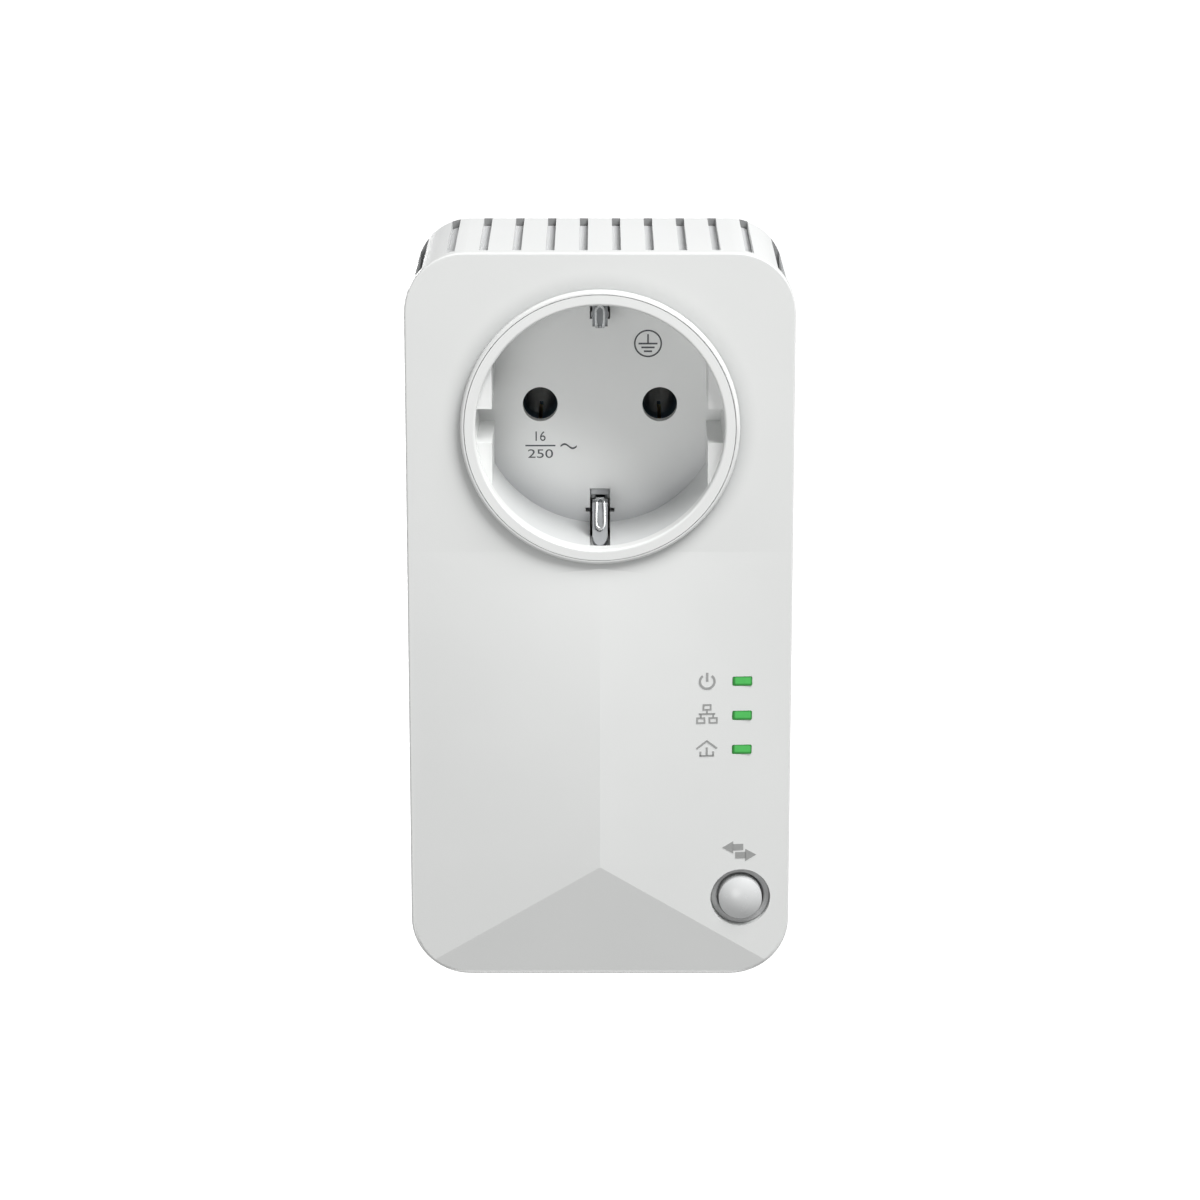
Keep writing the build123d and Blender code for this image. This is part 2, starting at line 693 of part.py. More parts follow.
for side, clip_name in ((1, "earth_clip_top"), (-1, "earth_clip_bottom")):
    with BuildPart() as earth_clip:
        with BuildSketch(Plane.YZ):
            with BuildLine():
                FilletPolyline([(y, side * z) for y, z in clip_path], radius=clip_bend_radius)
            trace(line_width=clip_thickness)
        extrude(amount=clip_width / 2, both=True)
        with BuildSketch(Plane.XY):
            with Locations((0, clip_root_y)):
                Rectangle(clip_width, clip_width)
            with Locations((0, clip_root_y + clip_width / 2 - clip_plan_length / 2)):
                SlotOverall(clip_plan_length + clip_width / 2, clip_width, rotation=90)
            with Locations((-clip_width / 2, clip_neck_y), (clip_width / 2, clip_neck_y)):
                Rectangle(clip_width - clip_neck_width, clip_neck_length, mode=Mode.SUBTRACT)
        extrude(amount=side * beyond_case, mode=Mode.INTERSECT)
    save(earth_clip, clip_name)

# ================================================================ mains straps
# Flat straps, each with an eye around a contact sleeve, carry mains down to the power board.
strap_back_y = -22.2
strap_thickness = 0.8
strap_width = 4.0
strap_end_z = -29.0
strap_eye_radius = 4.6
strap_eye_gap = 0.02

for side, strap_name in ((-1, "mains_strap_left"), (1, "mains_strap_right")):
    with BuildPart() as mains_strap:
        with BuildSketch(facing_front(strap_back_y)):
            with Locations((side * pin_x, 0)):
                Circle(strap_eye_radius)
            with Locations((side * pin_x, strap_end_z / 2)):
                Rectangle(strap_width, -strap_end_z)
            with Locations((side * pin_x, 0)):
                Circle(sleeve_outer_radius + strap_eye_gap, mode=Mode.SUBTRACT)
        extrude(amount=strap_thickness)
    save(mains_strap, strap_name)

# ================================================================ boards
# Both boards stand parallel to the panel. The main board hangs on the panel's posts, the power board on
# the rear housing's posts, and their lower corners are cut away around the screw tubes.
board_screw_hole_radius = 1.2
board_corner_cut = (6.5, 8.0)

with BuildPart() as main_board:
    with BuildSketch(facing_front(main_board_back_y)):
        with Locations((0, (main_board_top_z + main_board_bottom_z) / 2)):
            Rectangle(2 * board_half_width, main_board_top_z - main_board_bottom_z)
        with Locations(*[(side * board_half_width, main_board_bottom_z) for side in (-1, 1)]):
            Rectangle(2 * board_corner_cut[0], 2 * board_corner_cut[1], mode=Mode.SUBTRACT)
        with Locations(*main_post_places):
            Circle(board_screw_hole_radius, mode=Mode.SUBTRACT)
    extrude(amount=main_board_back_y - main_board_front_y)
save(main_board, "main_board")

with BuildPart() as power_board:
    with BuildSketch(facing_front(power_board_back_y)):
        with Locations((0, (power_board_top_z + power_board_bottom_z) / 2)):
            Rectangle(2 * board_half_width, power_board_top_z - power_board_bottom_z)
        with Locations(*[(side * board_half_width, power_board_bottom_z) for side in (-1, 1)]):
            Rectangle(2 * board_corner_cut[0], 2 * board_corner_cut[1], mode=Mode.SUBTRACT)
        with Locations(*power_post_places):
            Circle(board_screw_hole_radius, mode=Mode.SUBTRACT)
    extrude(amount=power_board_back_y - power_board_front_y)
save(power_board, "power_board")

# Small screws hold the boards: heads on the inner faces of both boards, points in the posts.
board_screw_head_radius = 2.0
board_screw_head_height = 1.3
board_screw_radius = 1.0
board_cross = (2.2, 0.5)
board_cross_depth = 0.7
main_board_screw_reach = 5.6
power_board_screw_reach = 4.2

with BuildPart() as main_board_screws:
    with BuildSketch(facing_back(main_board_back_y)):
        with Locations(*[(-x, z) for x, z in main_post_places]):
            Circle(board_screw_head_radius)
    extrude(amount=board_screw_head_height)
    with BuildSketch(facing_back(main_board_back_y + board_screw_head_height)):
        with Locations(*[(-x, z) for x, z in main_post_places]):
            Rectangle(*board_cross)
            Rectangle(*board_cross, rotation=90)
    extrude(amount=-board_cross_depth, mode=Mode.SUBTRACT)
    with BuildSketch(facing_front(main_board_back_y)):
        with Locations(*main_post_places):
            Circle(board_screw_radius)
    extrude(amount=main_board_screw_reach)
save(main_board_screws, "main_board_screws")

with BuildPart() as power_board_screws:
    with BuildSketch(facing_front(power_board_front_y)):
        with Locations(*power_post_places):
            Circle(board_screw_head_radius)
    extrude(amount=board_screw_head_height)
    with BuildSketch(facing_front(power_board_front_y - board_screw_head_height)):
        with Locations(*power_post_places):
            Rectangle(*board_cross)
            Rectangle(*board_cross, rotation=90)
    extrude(amount=-board_cross_depth, mode=Mode.SUBTRACT)
    with BuildSketch(facing_back(power_board_front_y)):
        with Locations(*power_post_places):
            Circle(board_screw_radius)
    extrude(amount=power_board_screw_reach)
save(power_board_screws, "power_board_screws")

# ================================================================ status lights
# Surface-mounted lights shine through one clear guide: three rods on a web. A black frame keeps their
# light apart.
led_size = (1.6, 0.8)
led_height = 0.7
web_back_y = main_board_front_y - 1.6
web_front_y = web_back_y - 1.0
web_width = 4.6
web_margin = 2.2
web_top_z = led_z_positions[0] + web_margin
web_bottom_z = led_z_positions[-1] - web_margin
guide_proud = 0.05
shield_back_y = web_front_y - 0.1
shield_front_y = panel_back_y + 0.1
shield_side_wall = 0.8
shield_end_wall = 0.6

with BuildPart() as status_leds:
    with BuildSketch(facing_front(main_board_front_y)):
        with Locations(*[(led_x, z) for z in led_z_positions]):
            Rectangle(*led_size)
    extrude(amount=led_height)
save(status_leds, "status_leds")

with BuildPart() as light_guide:
    with BuildSketch(facing_front(web_back_y)):
        with Locations((led_x, (web_top_z + web_bottom_z) / 2)):
            Rectangle(web_width, web_top_z - web_bottom_z)
    extrude(amount=web_back_y - web_front_y)
    for led_z in led_z_positions:
        with BuildSketch(facing_front(web_front_y)):
            with Locations((led_x, led_z)):
                RectangleRounded(
                    window_width - 2 * fine_gap,
                    window_height - 2 * fine_gap,
                    window_rounding - fine_gap,
                )
        extrude(amount=web_front_y - panel_surface_y(led_x, led_z) + guide_proud)
save(light_guide, "light_guide")

with BuildPart() as light_shield:
    with BuildSketch(facing_front(shield_back_y)):
        with Locations((led_x, (web_top_z + web_bottom_z) / 2)):
            Rectangle(web_width + 2 * shield_side_wall, web_top_z - web_bottom_z + 2 * shield_end_wall)
        with Locations(*[(led_x, z) for z in led_z_positions]):
            Rectangle(window_width + 2 * fine_gap, window_height + 2 * fine_gap, mode=Mode.SUBTRACT)
    extrude(amount=shield_back_y - shield_front_y)
save(light_shield, "light_shield")

# ================================================================ pairing button
# A domed cap travels in a grey bezel ring; its flange stops behind the ring and presses the key switch.
ring_front_y = panel_front_y + 0.55
ring_bore_gap = 0.3
ring_chamfer = 0.2
cap_dome_y = panel_front_y - 2.0
cap_rim_y = panel_front_y - 0.9
dome_rise = cap_rim_y - cap_dome_y
dome_radius = (button_cap_radius**2 + dome_rise**2) / (2 * dome_rise)
cap_flange_front_y = panel_back_y + 0.15
cap_flange_back_y = cap_flange_front_y + 0.7
cap_flange_radius = button_cap_radius + 0.75
switch_size = 6.0
switch_rounding = 0.4
switch_top_y = main_board_front_y - 2.8
switch_bore_depth = 1.8
plunger_front_y = cap_flange_back_y + 0.1
plunger_radius = 1.75
plunger_back_y = switch_top_y + 1.0
plunger_chamfer = 0.2

with BuildPart() as button_ring:
    with BuildSketch(facing_front(panel_back_y)):
        with Locations((button_x, button_z)):
            Circle(button_hole_radius - fine_gap)
            Circle(button_cap_radius + ring_bore_gap, mode=Mode.SUBTRACT)
    extrude(amount=panel_back_y - ring_front_y)
    chamfer(button_ring.faces().sort_by(Axis.Y)[0].edges(), ring_chamfer)
save(button_ring, "button_ring")

with BuildPart() as pair_button:
    with BuildSketch(facing_front(cap_flange_back_y)):
        with Locations((button_x, button_z)):
            Circle(cap_flange_radius)
    extrude(amount=cap_flange_back_y - cap_flange_front_y)
    with BuildSketch(facing_front(cap_flange_front_y)):
        with Locations((button_x, button_z)):
            Circle(button_cap_radius)
    extrude(amount=cap_flange_front_y - cap_dome_y)
    # The cap's face is part of a large sphere.
    with Locations((button_x, cap_dome_y + dome_radius, button_z)):
        Sphere(dome_radius, mode=Mode.INTERSECT)
save(pair_button, "pair_button")

with BuildPart() as pair_switch:
    with BuildSketch(facing_front(main_board_front_y)):
        with Locations((button_x, button_z)):
            RectangleRounded(switch_size, switch_size, switch_rounding)
    extrude(amount=main_board_front_y - switch_top_y)
    with BuildSketch(facing_front(switch_top_y)):
        with Locations((button_x, button_z)):
            Circle(plunger_radius + fine_gap)
    extrude(amount=-switch_bore_depth, mode=Mode.SUBTRACT)
save(pair_switch, "pair_switch")

with BuildPart() as pair_plunger:
    with BuildSketch(facing_front(plunger_back_y)):
        with Locations((button_x, button_z)):
            Circle(plunger_radius)
    extrude(amount=plunger_back_y - plunger_front_y)
    chamfer(pair_plunger.faces().sort_by(Axis.Y)[0].edges(), plunger_chamfer)
save(pair_plunger, "pair_plunger")

# ================================================================ reset key
# A side-pressed key switch at the board's lower edge, reached with a pin through the pinhole.
reset_body_top_z = -81.6
reset_body_bottom_z = -85.2
reset_body_width = 6.0
reset_plunger_radius = 0.9
reset_plunger_top_z = -83.6
reset_plunger_tip_z = -86.2
reset_bore_top_z = -83.0

with BuildPart() as reset_switch:
    with BuildSketch(Plane.XY.offset(reset_body_bottom_z)):
        with Locations((reset_x, reset_y)):
            Rectangle(reset_body_width, 2 * (reset_y - main_board_back_y))
    extrude(amount=reset_body_top_z - reset_body_bottom_z)
    with BuildSketch(Plane.XY.offset(reset_body_bottom_z)):
        with Locations((reset_x, reset_y)):
            Circle(reset_plunger_radius + fine_gap)
    extrude(amount=reset_bore_top_z - reset_body_bottom_z, mode=Mode.SUBTRACT)
save(reset_switch, "reset_switch")

with BuildPart() as reset_plunger:
    with BuildSketch(Plane.XY.offset(reset_plunger_tip_z)):
        with Locations((reset_x, reset_y)):
            Circle(reset_plunger_radius)
    extrude(amount=reset_plunger_top_z - reset_plunger_tip_z)
save(reset_plunger, "reset_plunger")

# ================================================================ network jack
# The jack lies on the back of the main board with its mouth in the bottom of the case.
jack_bottom_z = -89.4
jack_top_z = -68.4
jack_board_y = main_board_back_y
jack_mid_y = jack_board_y + jack_height / 2
jack_floor = 3.0
jack_shield_wall = 0.25
jack_cavity_width = 11.9
jack_cavity_height = 7.2
jack_cavity_y = jack_board_y + jack_floor + jack_cavity_height / 2
jack_latch_width = 6.2
jack_latch_height = 2.7
jack_latch_y = jack_cavity_y + jack_cavity_height / 2 - 1.0
jack_cavity_depth = 15.5

with BuildPart() as jack_shield:
    with BuildSketch(Plane.XY.offset(jack_bottom_z)):
        with Locations((jack_x, jack_mid_y)):
            Rectangle(jack_width, jack_height)
            Rectangle(
                jack_width - 2 * jack_shield_wall,
                jack_height - 2 * jack_shield_wall,
                mode=Mode.SUBTRACT,
            )
    extrude(amount=jack_top_z - jack_bottom_z)
    with BuildSketch(Plane.XY.offset(jack_top_z - jack_shield_wall)):
        with Locations((jack_x, jack_mid_y)):
            Rectangle(jack_width, jack_height)
    extrude(amount=jack_shield_wall)
save(jack_shield, "jack_shield")

with BuildPart() as jack_housing:
    with BuildSketch(Plane.XY.offset(jack_bottom_z)):
        with Locations((jack_x, jack_mid_y)):
            Rectangle(
                jack_width - 2 * jack_shield_wall - 2 * fine_gap,
                jack_height - 2 * jack_shield_wall - 2 * fine_gap,
            )
    extrude(amount=jack_top_z - jack_shield_wall - fine_gap - jack_bottom_z)
    with BuildSketch(Plane.XY.offset(jack_bottom_z)):
        with Locations((jack_x, jack_cavity_y)):
            Rectangle(jack_cavity_width, jack_cavity_height)
        with Locations((jack_x, jack_latch_y)):
            Rectangle(jack_latch_width, jack_latch_height, align=(Align.CENTER, Align.MIN))
    extrude(amount=jack_cavity_depth, mode=Mode.SUBTRACT)
save(jack_housing, "jack_housing")

# Eight spring wires slant down from the back of the cavity on the board side.
jack_wire_count = 8
jack_wire_pitch = 1.02
jack_wire_width = 0.35
jack_wire_root_y = jack_cavity_y - jack_cavity_height / 2 + fine_gap
jack_wire_front_z = jack_bottom_z + 3.0
jack_wire_root_z = jack_wire_front_z + 0.6
jack_wire_tip_y = jack_wire_root_y + 1.85
jack_wire_tip_z = jack_bottom_z + 12.5

with BuildPart() as jack_wires:
    for wire in range(jack_wire_count):
        wire_x = jack_x + (wire - (jack_wire_count - 1) / 2) * jack_wire_pitch
        with BuildSketch(Plane.YZ.offset(wire_x)):
            Polygon(
                (jack_wire_root_y, jack_wire_front_z),
                (jack_wire_root_y, jack_wire_root_z),
                (jack_wire_tip_y, jack_wire_tip_z),
                (jack_wire_tip_y + jack_wire_width, jack_wire_tip_z),
                align=None,
            )
        extrude(amount=jack_wire_width / 2, both=True)
save(jack_wires, "jack_wires")

# ================================================================ parts on the boards
def save_block(name, plane, place, size, height, edge_chamfer=0.0):
    """A plain block of the given size and height on a board, with softened upper edges if asked."""
    with BuildPart() as block:
        with BuildSketch(plane):
            with Locations(place):
                Rectangle(*size)
        extrude(amount=height)
        if edge_chamfer > 0:
            farthest = Axis.Y if plane.z_dir.Y > 0 else -Axis.Y
            chamfer(block.faces().sort_by(farthest)[-1].edges(), edge_chamfer)
    save(block, name)


disc_lead_gap = 0.8
disc_rounding = 0.8


def save_disc(name, place, radius, thickness):
    """A round disc part that stands on edge on the power board, facing up and down the case."""
    x, lower_z = place
    with BuildPart() as disc:
        with BuildSketch(Plane.XY.offset(lower_z)):
            with Locations((x, power_board_front_y - radius - disc_lead_gap)):
                Circle(radius)
        extrude(amount=thickness)
        fillet(disc.edges(), disc_rounding)
    save(disc, name)


# On the back of the main board: the processor under its heat sink, memory, clock and line magnetics.
processor_place = (14.0, -42.5)
processor_size = (14.0, 14.0)
processor_height = 1.2
on_main = facing_front(main_board_back_y)
save_block("processor_chip", on_main, processor_place, processor_size, -processor_height)
save_block("memory_chip", on_main, (14.0, -60.0), (11.0, 8.0), -1.0)
save_block("clock_crystal", on_main, (20.0, -67.5), (3.2, 2.5), -0.9)
magnetics_standoff = 0.4
on_magnetics_feet = facing_front(main_board_back_y + magnetics_standoff)
save_block("line_magnetics", on_magnetics_feet, (jack_x, -60.5), (16.0, 12.0), -5.8)

heat_sink_size = 18.0
heat_sink_height = 6.0
heat_sink_base = 1.4
fin_count = 6
fin_thickness = 1.0
fin_spacing = (heat_sink_size - fin_thickness) / (fin_count - 1)
with BuildPart() as heat_sink:
    with BuildSketch(facing_front(main_board_back_y + processor_height)):
        with Locations(processor_place):
            Rectangle(heat_sink_size, heat_sink_size)
    extrude(amount=-heat_sink_base)
    with BuildSketch(facing_front(main_board_back_y + processor_height)):
        with Locations(processor_place):
            with GridLocations(fin_spacing, 0, fin_count, 1):
                Rectangle(fin_thickness, heat_sink_size)
    extrude(amount=-heat_sink_height)
save(heat_sink, "heat_sink")

# The switching transformer: a ferrite core around a taped winding on a flat base.
transformer_place = (-12.0, -37.0)
base_depth = 15.0
base_height = 2.0
core_thickness = 8.0
core_width = 17.0
core_height = 13.0
core_yoke = 2.5
core_leg = 2.0
centre_leg_radius = 2.3
winding_radius = 6.2
core_base_y = power_board_front_y - base_height
on_power = facing_front(power_board_front_y)
save_block("transformer_base", on_power, transformer_place, (core_width, base_depth), base_height - fine_gap)

with BuildPart() as transformer_core:
    with BuildSketch(facing_front(core_base_y)):
        with Locations(transformer_place):
            Rectangle(core_width, core_thickness)
    extrude(amount=core_height)
    with BuildSketch(Plane.XY.offset(transformer_place[1])):
        with Locations((transformer_place[0], core_base_y - core_height / 2)):
            Rectangle(core_width - 2 * core_leg, core_height - 2 * core_yoke)
    extrude(amount=core_thickness, both=True, mode=Mode.SUBTRACT)
    with BuildSketch(facing_front(core_base_y)):
        with Locations(transformer_place):
            Circle(centre_leg_radius)
    extrude(amount=core_height)
save(transformer_core, "transformer_core")

with BuildPart() as transformer_winding:
    with BuildSketch(facing_front(core_base_y - core_yoke - fine_gap)):
        with Locations(transformer_place):
            Circle(winding_radius)
            Circle(centre_leg_radius + fine_gap, mode=Mode.SUBTRACT)
    extrude(amount=core_height - 2 * core_yoke - 2 * fine_gap)
save(transformer_winding, "transformer_winding")

# Two bulk capacitors lie on their sides, and two output capacitors stand upright.
bulk_radius = 5.0
bulk_length = 16.0
bulk_gap = 0.1
bulk_rounding = 0.6
bulk_start_x = -25.0
bulk_z_positions = (-51.3, -61.6)
with BuildPart() as bulk_capacitors:
    with BuildSketch(Plane.YZ.offset(bulk_start_x)):
        with Locations(*[(power_board_front_y - bulk_radius - bulk_gap, z) for z in bulk_z_positions]):
            Circle(bulk_radius)
    extrude(amount=bulk_length)
    fillet(bulk_capacitors.edges().filter_by(GeomType.CIRCLE), bulk_rounding)
save(bulk_capacitors, "bulk_capacitors")

output_radius = 3.15
output_height = 11.0
output_rounding = 0.5
output_places = [(6.0, -80.0), (15.8, -80.0)]
with BuildPart() as output_capacitors:
    with BuildSketch(on_power):
        with Locations(*output_places):
            Circle(output_radius)
    extrude(amount=output_height)
    fillet(output_capacitors.faces().group_by(Axis.Y)[0].edges(), output_rounding)
save(output_capacitors, "output_capacitors")

# The mains choke is a copper winding around a ferrite ring that lies flat on the board.
choke_place = (20.0, -60.0)
choke_core_back_y = power_board_front_y - 0.9
choke_core_height = 4.0
choke_core_radii = (5.1, 2.9)
choke_turns = 14
wire_thickness = 0.8
turn_wall = 0.7
turn_gap = 0.05
choke_middle_radius = (choke_core_radii[0] + choke_core_radii[1]) / 2
turn_inner_width = choke_core_radii[0] - choke_core_radii[1] + 2 * turn_gap
turn_inner_height = choke_core_height + 2 * turn_gap
with BuildPart() as choke_core:
    with BuildSketch(facing_front(choke_core_back_y)):
        with Locations(choke_place):
            Circle(choke_core_radii[0])
            Circle(choke_core_radii[1], mode=Mode.SUBTRACT)
    extrude(amount=choke_core_height)
save(choke_core, "choke_core")

with BuildPart() as choke_winding:
    for turn in range(choke_turns):
        turn_angle = 2 * math.pi * turn / choke_turns
        outward = (math.cos(turn_angle), 0, math.sin(turn_angle))
        along_ring = (-math.sin(turn_angle), 0, math.cos(turn_angle))
        turn_middle = (
            choke_place[0] + choke_middle_radius * outward[0],
            choke_core_back_y - choke_core_height / 2,
            choke_place[1] + choke_middle_radius * outward[2],
        )
        with BuildSketch(Plane(origin=turn_middle, x_dir=outward, z_dir=along_ring)):
            Rectangle(turn_inner_width + 2 * turn_wall, turn_inner_height + 2 * turn_wall)
            Rectangle(turn_inner_width, turn_inner_height, mode=Mode.SUBTRACT)
        extrude(amount=wire_thickness / 2, both=True)
save(choke_winding, "choke_winding")

# The rest of the power board: filters, rectifier, fuse, surge parts and the supply's own chips.
save_block("line_capacitor", on_power, (6.5, -61.0), (13.0, 6.0), 11.0, 0.5)
save_block("coupling_transformer", on_power, (14.0, -40.0), (11.0, 11.0), 7.8, 0.6)
save_block("bridge_rectifier", on_power, (3.0, -52.0), (8.2, 6.4), 3.3, 0.3)
save_block("line_fuse", on_power, (20.0, -73.2), (8.4, 4.2), 8.0, 0.4)
save_block("supply_controller", on_power, (-14.0, -76.0), (5.0, 6.2), 1.8)
save_block("opto_coupler", on_power, (-6.0, -76.0), (4.4, 6.2), 1.8)
save_disc("surge_disc", (8.0, -73.5), 4.5, 3.2)
save_disc("safety_capacitor", (21.5, -51.4), 3.5, 2.8)

# A pin header carries supply and signal between the boards.
header_place = (-22.2, -76.0)
header_pin_count = 4
header_pitch = 2.0
header_block_height = 14.0
header_block_width = 2.4
header_pin_size = 0.64
header_hole_size = header_pin_size + 0.02

with BuildPart() as board_header:
    with BuildSketch(on_power):
        with Locations(header_place):
            Rectangle(header_block_width, header_pin_count * header_pitch)
            with GridLocations(0, header_pitch, 1, header_pin_count):
                Rectangle(header_hole_size, header_hole_size, mode=Mode.SUBTRACT)
    extrude(amount=header_block_height)
save(board_header, "board_header")

with BuildPart() as header_pins:
    with BuildSketch(on_power):
        with Locations(header_place):
            with GridLocations(0, header_pitch, 1, header_pin_count):
                Rectangle(header_pin_size, header_pin_size)
    extrude(amount=power_board_front_y - main_board_back_y)
save(header_pins, "header_pins")
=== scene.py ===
import math

import bpy
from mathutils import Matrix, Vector


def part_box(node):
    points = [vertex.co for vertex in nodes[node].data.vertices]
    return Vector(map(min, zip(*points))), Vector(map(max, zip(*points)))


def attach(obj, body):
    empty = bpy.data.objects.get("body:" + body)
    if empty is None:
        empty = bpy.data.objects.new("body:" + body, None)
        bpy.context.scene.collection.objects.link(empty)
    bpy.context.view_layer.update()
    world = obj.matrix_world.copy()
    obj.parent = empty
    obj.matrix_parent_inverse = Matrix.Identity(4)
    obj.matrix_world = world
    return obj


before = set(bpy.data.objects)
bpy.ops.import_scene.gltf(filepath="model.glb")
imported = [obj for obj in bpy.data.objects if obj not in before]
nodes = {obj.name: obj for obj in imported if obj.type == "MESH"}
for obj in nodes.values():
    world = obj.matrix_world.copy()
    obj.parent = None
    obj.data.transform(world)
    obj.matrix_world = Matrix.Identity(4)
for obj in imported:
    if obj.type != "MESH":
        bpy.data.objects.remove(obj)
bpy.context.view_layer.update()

mm = 0.001


# ---------------------------------------------------------------- studio
# The adapter hangs as if plugged in, over a wide white floor that throws no light back on it. A soft lamp
# high on the right skims the panel and brings out its shallow facets, a weak one in front fills the well,
# and a third lights the side that faces the wall.
bpy.ops.object.select_all(action="DESELECT")
bpy.ops.mesh.primitive_plane_add(size=30.0, location=(0, 0, -0.75))
floor = bpy.context.object
floor.name = "studio_floor"
floor.visible_diffuse = False
floor.visible_glossy = False

floor_paint = bpy.data.materials.new("floor_paint")
floor_paint.use_nodes = True
floor_shader = floor_paint.node_tree.nodes["Principled BSDF"]
floor_shader.inputs["Base Color"].default_value = (0.93, 0.93, 0.93, 1)
floor_shader.inputs["Roughness"].default_value = 0.9
floor_shader.inputs["Emission Color"].default_value = (1, 1, 1, 1)
floor_shader.inputs["Emission Strength"].default_value = 1.0
floor.data.materials.append(floor_paint)

surround = bpy.data.worlds.new("studio_surround")
surround.use_nodes = True
surround.node_tree.nodes["Background"].inputs["Color"].default_value = (1, 1, 1, 1)
surround.node_tree.nodes["Background"].inputs["Strength"].default_value = 0.29
bpy.context.scene.world = surround
bpy.context.scene.view_settings.view_transform = "Standard"

for lamp_name, place, aim, side, power in (
    ("lamp_high_right", (0.34, -0.36, 0.68), (0, -0.05, -0.03), 0.50, 8.4),
    ("lamp_in_front", (-0.25, -1.30, -0.05), (0, -0.05, -0.03), 0.60, 3.5),
    ("lamp_behind", (-0.55, 0.95, -0.10), (0, 0, -0.03), 0.60, 7.0),
):
    bpy.ops.object.light_add(type="AREA", location=place)
    lamp = bpy.context.object
    lamp.name = lamp_name
    lamp.data.shape = "DISK"
    lamp.data.size = side
    lamp.data.energy = power
    lamp.rotation_euler = (Vector(aim) - Vector(place)).to_track_quat("-Z", "Y").to_euler()

camera_distance = 633.3 * mm
camera_pitch = math.radians(15.44)
insert_front_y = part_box("socket_insert")[0].y
camera_target = Vector((0, insert_front_y + 1.2 * mm, -27.8 * mm))
camera_back = Vector((0, -math.cos(camera_pitch), math.sin(camera_pitch)))
bpy.ops.object.camera_add(location=camera_target + camera_distance * camera_back)
camera = bpy.context.object
camera.name = "camera_front"
camera.rotation_euler = (-camera_back).to_track_quat("-Z", "Y").to_euler()
camera.data.sensor_width = 36.0
camera.data.lens = 121.05
bpy.context.scene.camera = camera


# ---------------------------------------------------------------- case mouldings
# The front panel and the rear tub are injection-moulded in white flame-retardant plastic. The panel has a
# fine eroded grain, and the tub is a little smoother and brighter. Painted shade greys the panel round the
# socket's collar, and painted shade darkens the vents' blind rear ends.
class Wire:
    """An output of a shader node, so that shader maths reads as plain arithmetic."""

    def __init__(self, finish, socket):
        self.finish = finish
        self.socket = socket

    def calculate(self, operation, first, second=0.0):
        return self.finish.node("ShaderNodeMath", {"operation": operation}, {0: first, 1: second})

    def __add__(self, other):
        return self.calculate("ADD", self, other)

    def __radd__(self, other):
        return self.calculate("ADD", other, self)

    def __sub__(self, other):
        return self.calculate("SUBTRACT", self, other)

    def __rsub__(self, other):
        return self.calculate("SUBTRACT", other, self)

    def __mul__(self, other):
        return self.calculate("MULTIPLY", self, other)

    def __rmul__(self, other):
        return self.calculate("MULTIPLY", other, self)

    def __truediv__(self, other):
        return self.calculate("DIVIDE", self, other)

    def __rtruediv__(self, other):
        return self.calculate("DIVIDE", other, self)

    def __pow__(self, other):
        return self.calculate("POWER", self, other)

    def __gt__(self, other):
        return self.calculate("GREATER_THAN", self, other)

    def __lt__(self, other):
        return self.calculate("LESS_THAN", self, other)

    def __mod__(self, other):
        return self.calculate("FLOORED_MODULO", self, other)

    def __abs__(self):
        return self.calculate("ABSOLUTE", self)

    def clamped(self):
        return self.finish.node("ShaderNodeClamp", {}, {0: self})


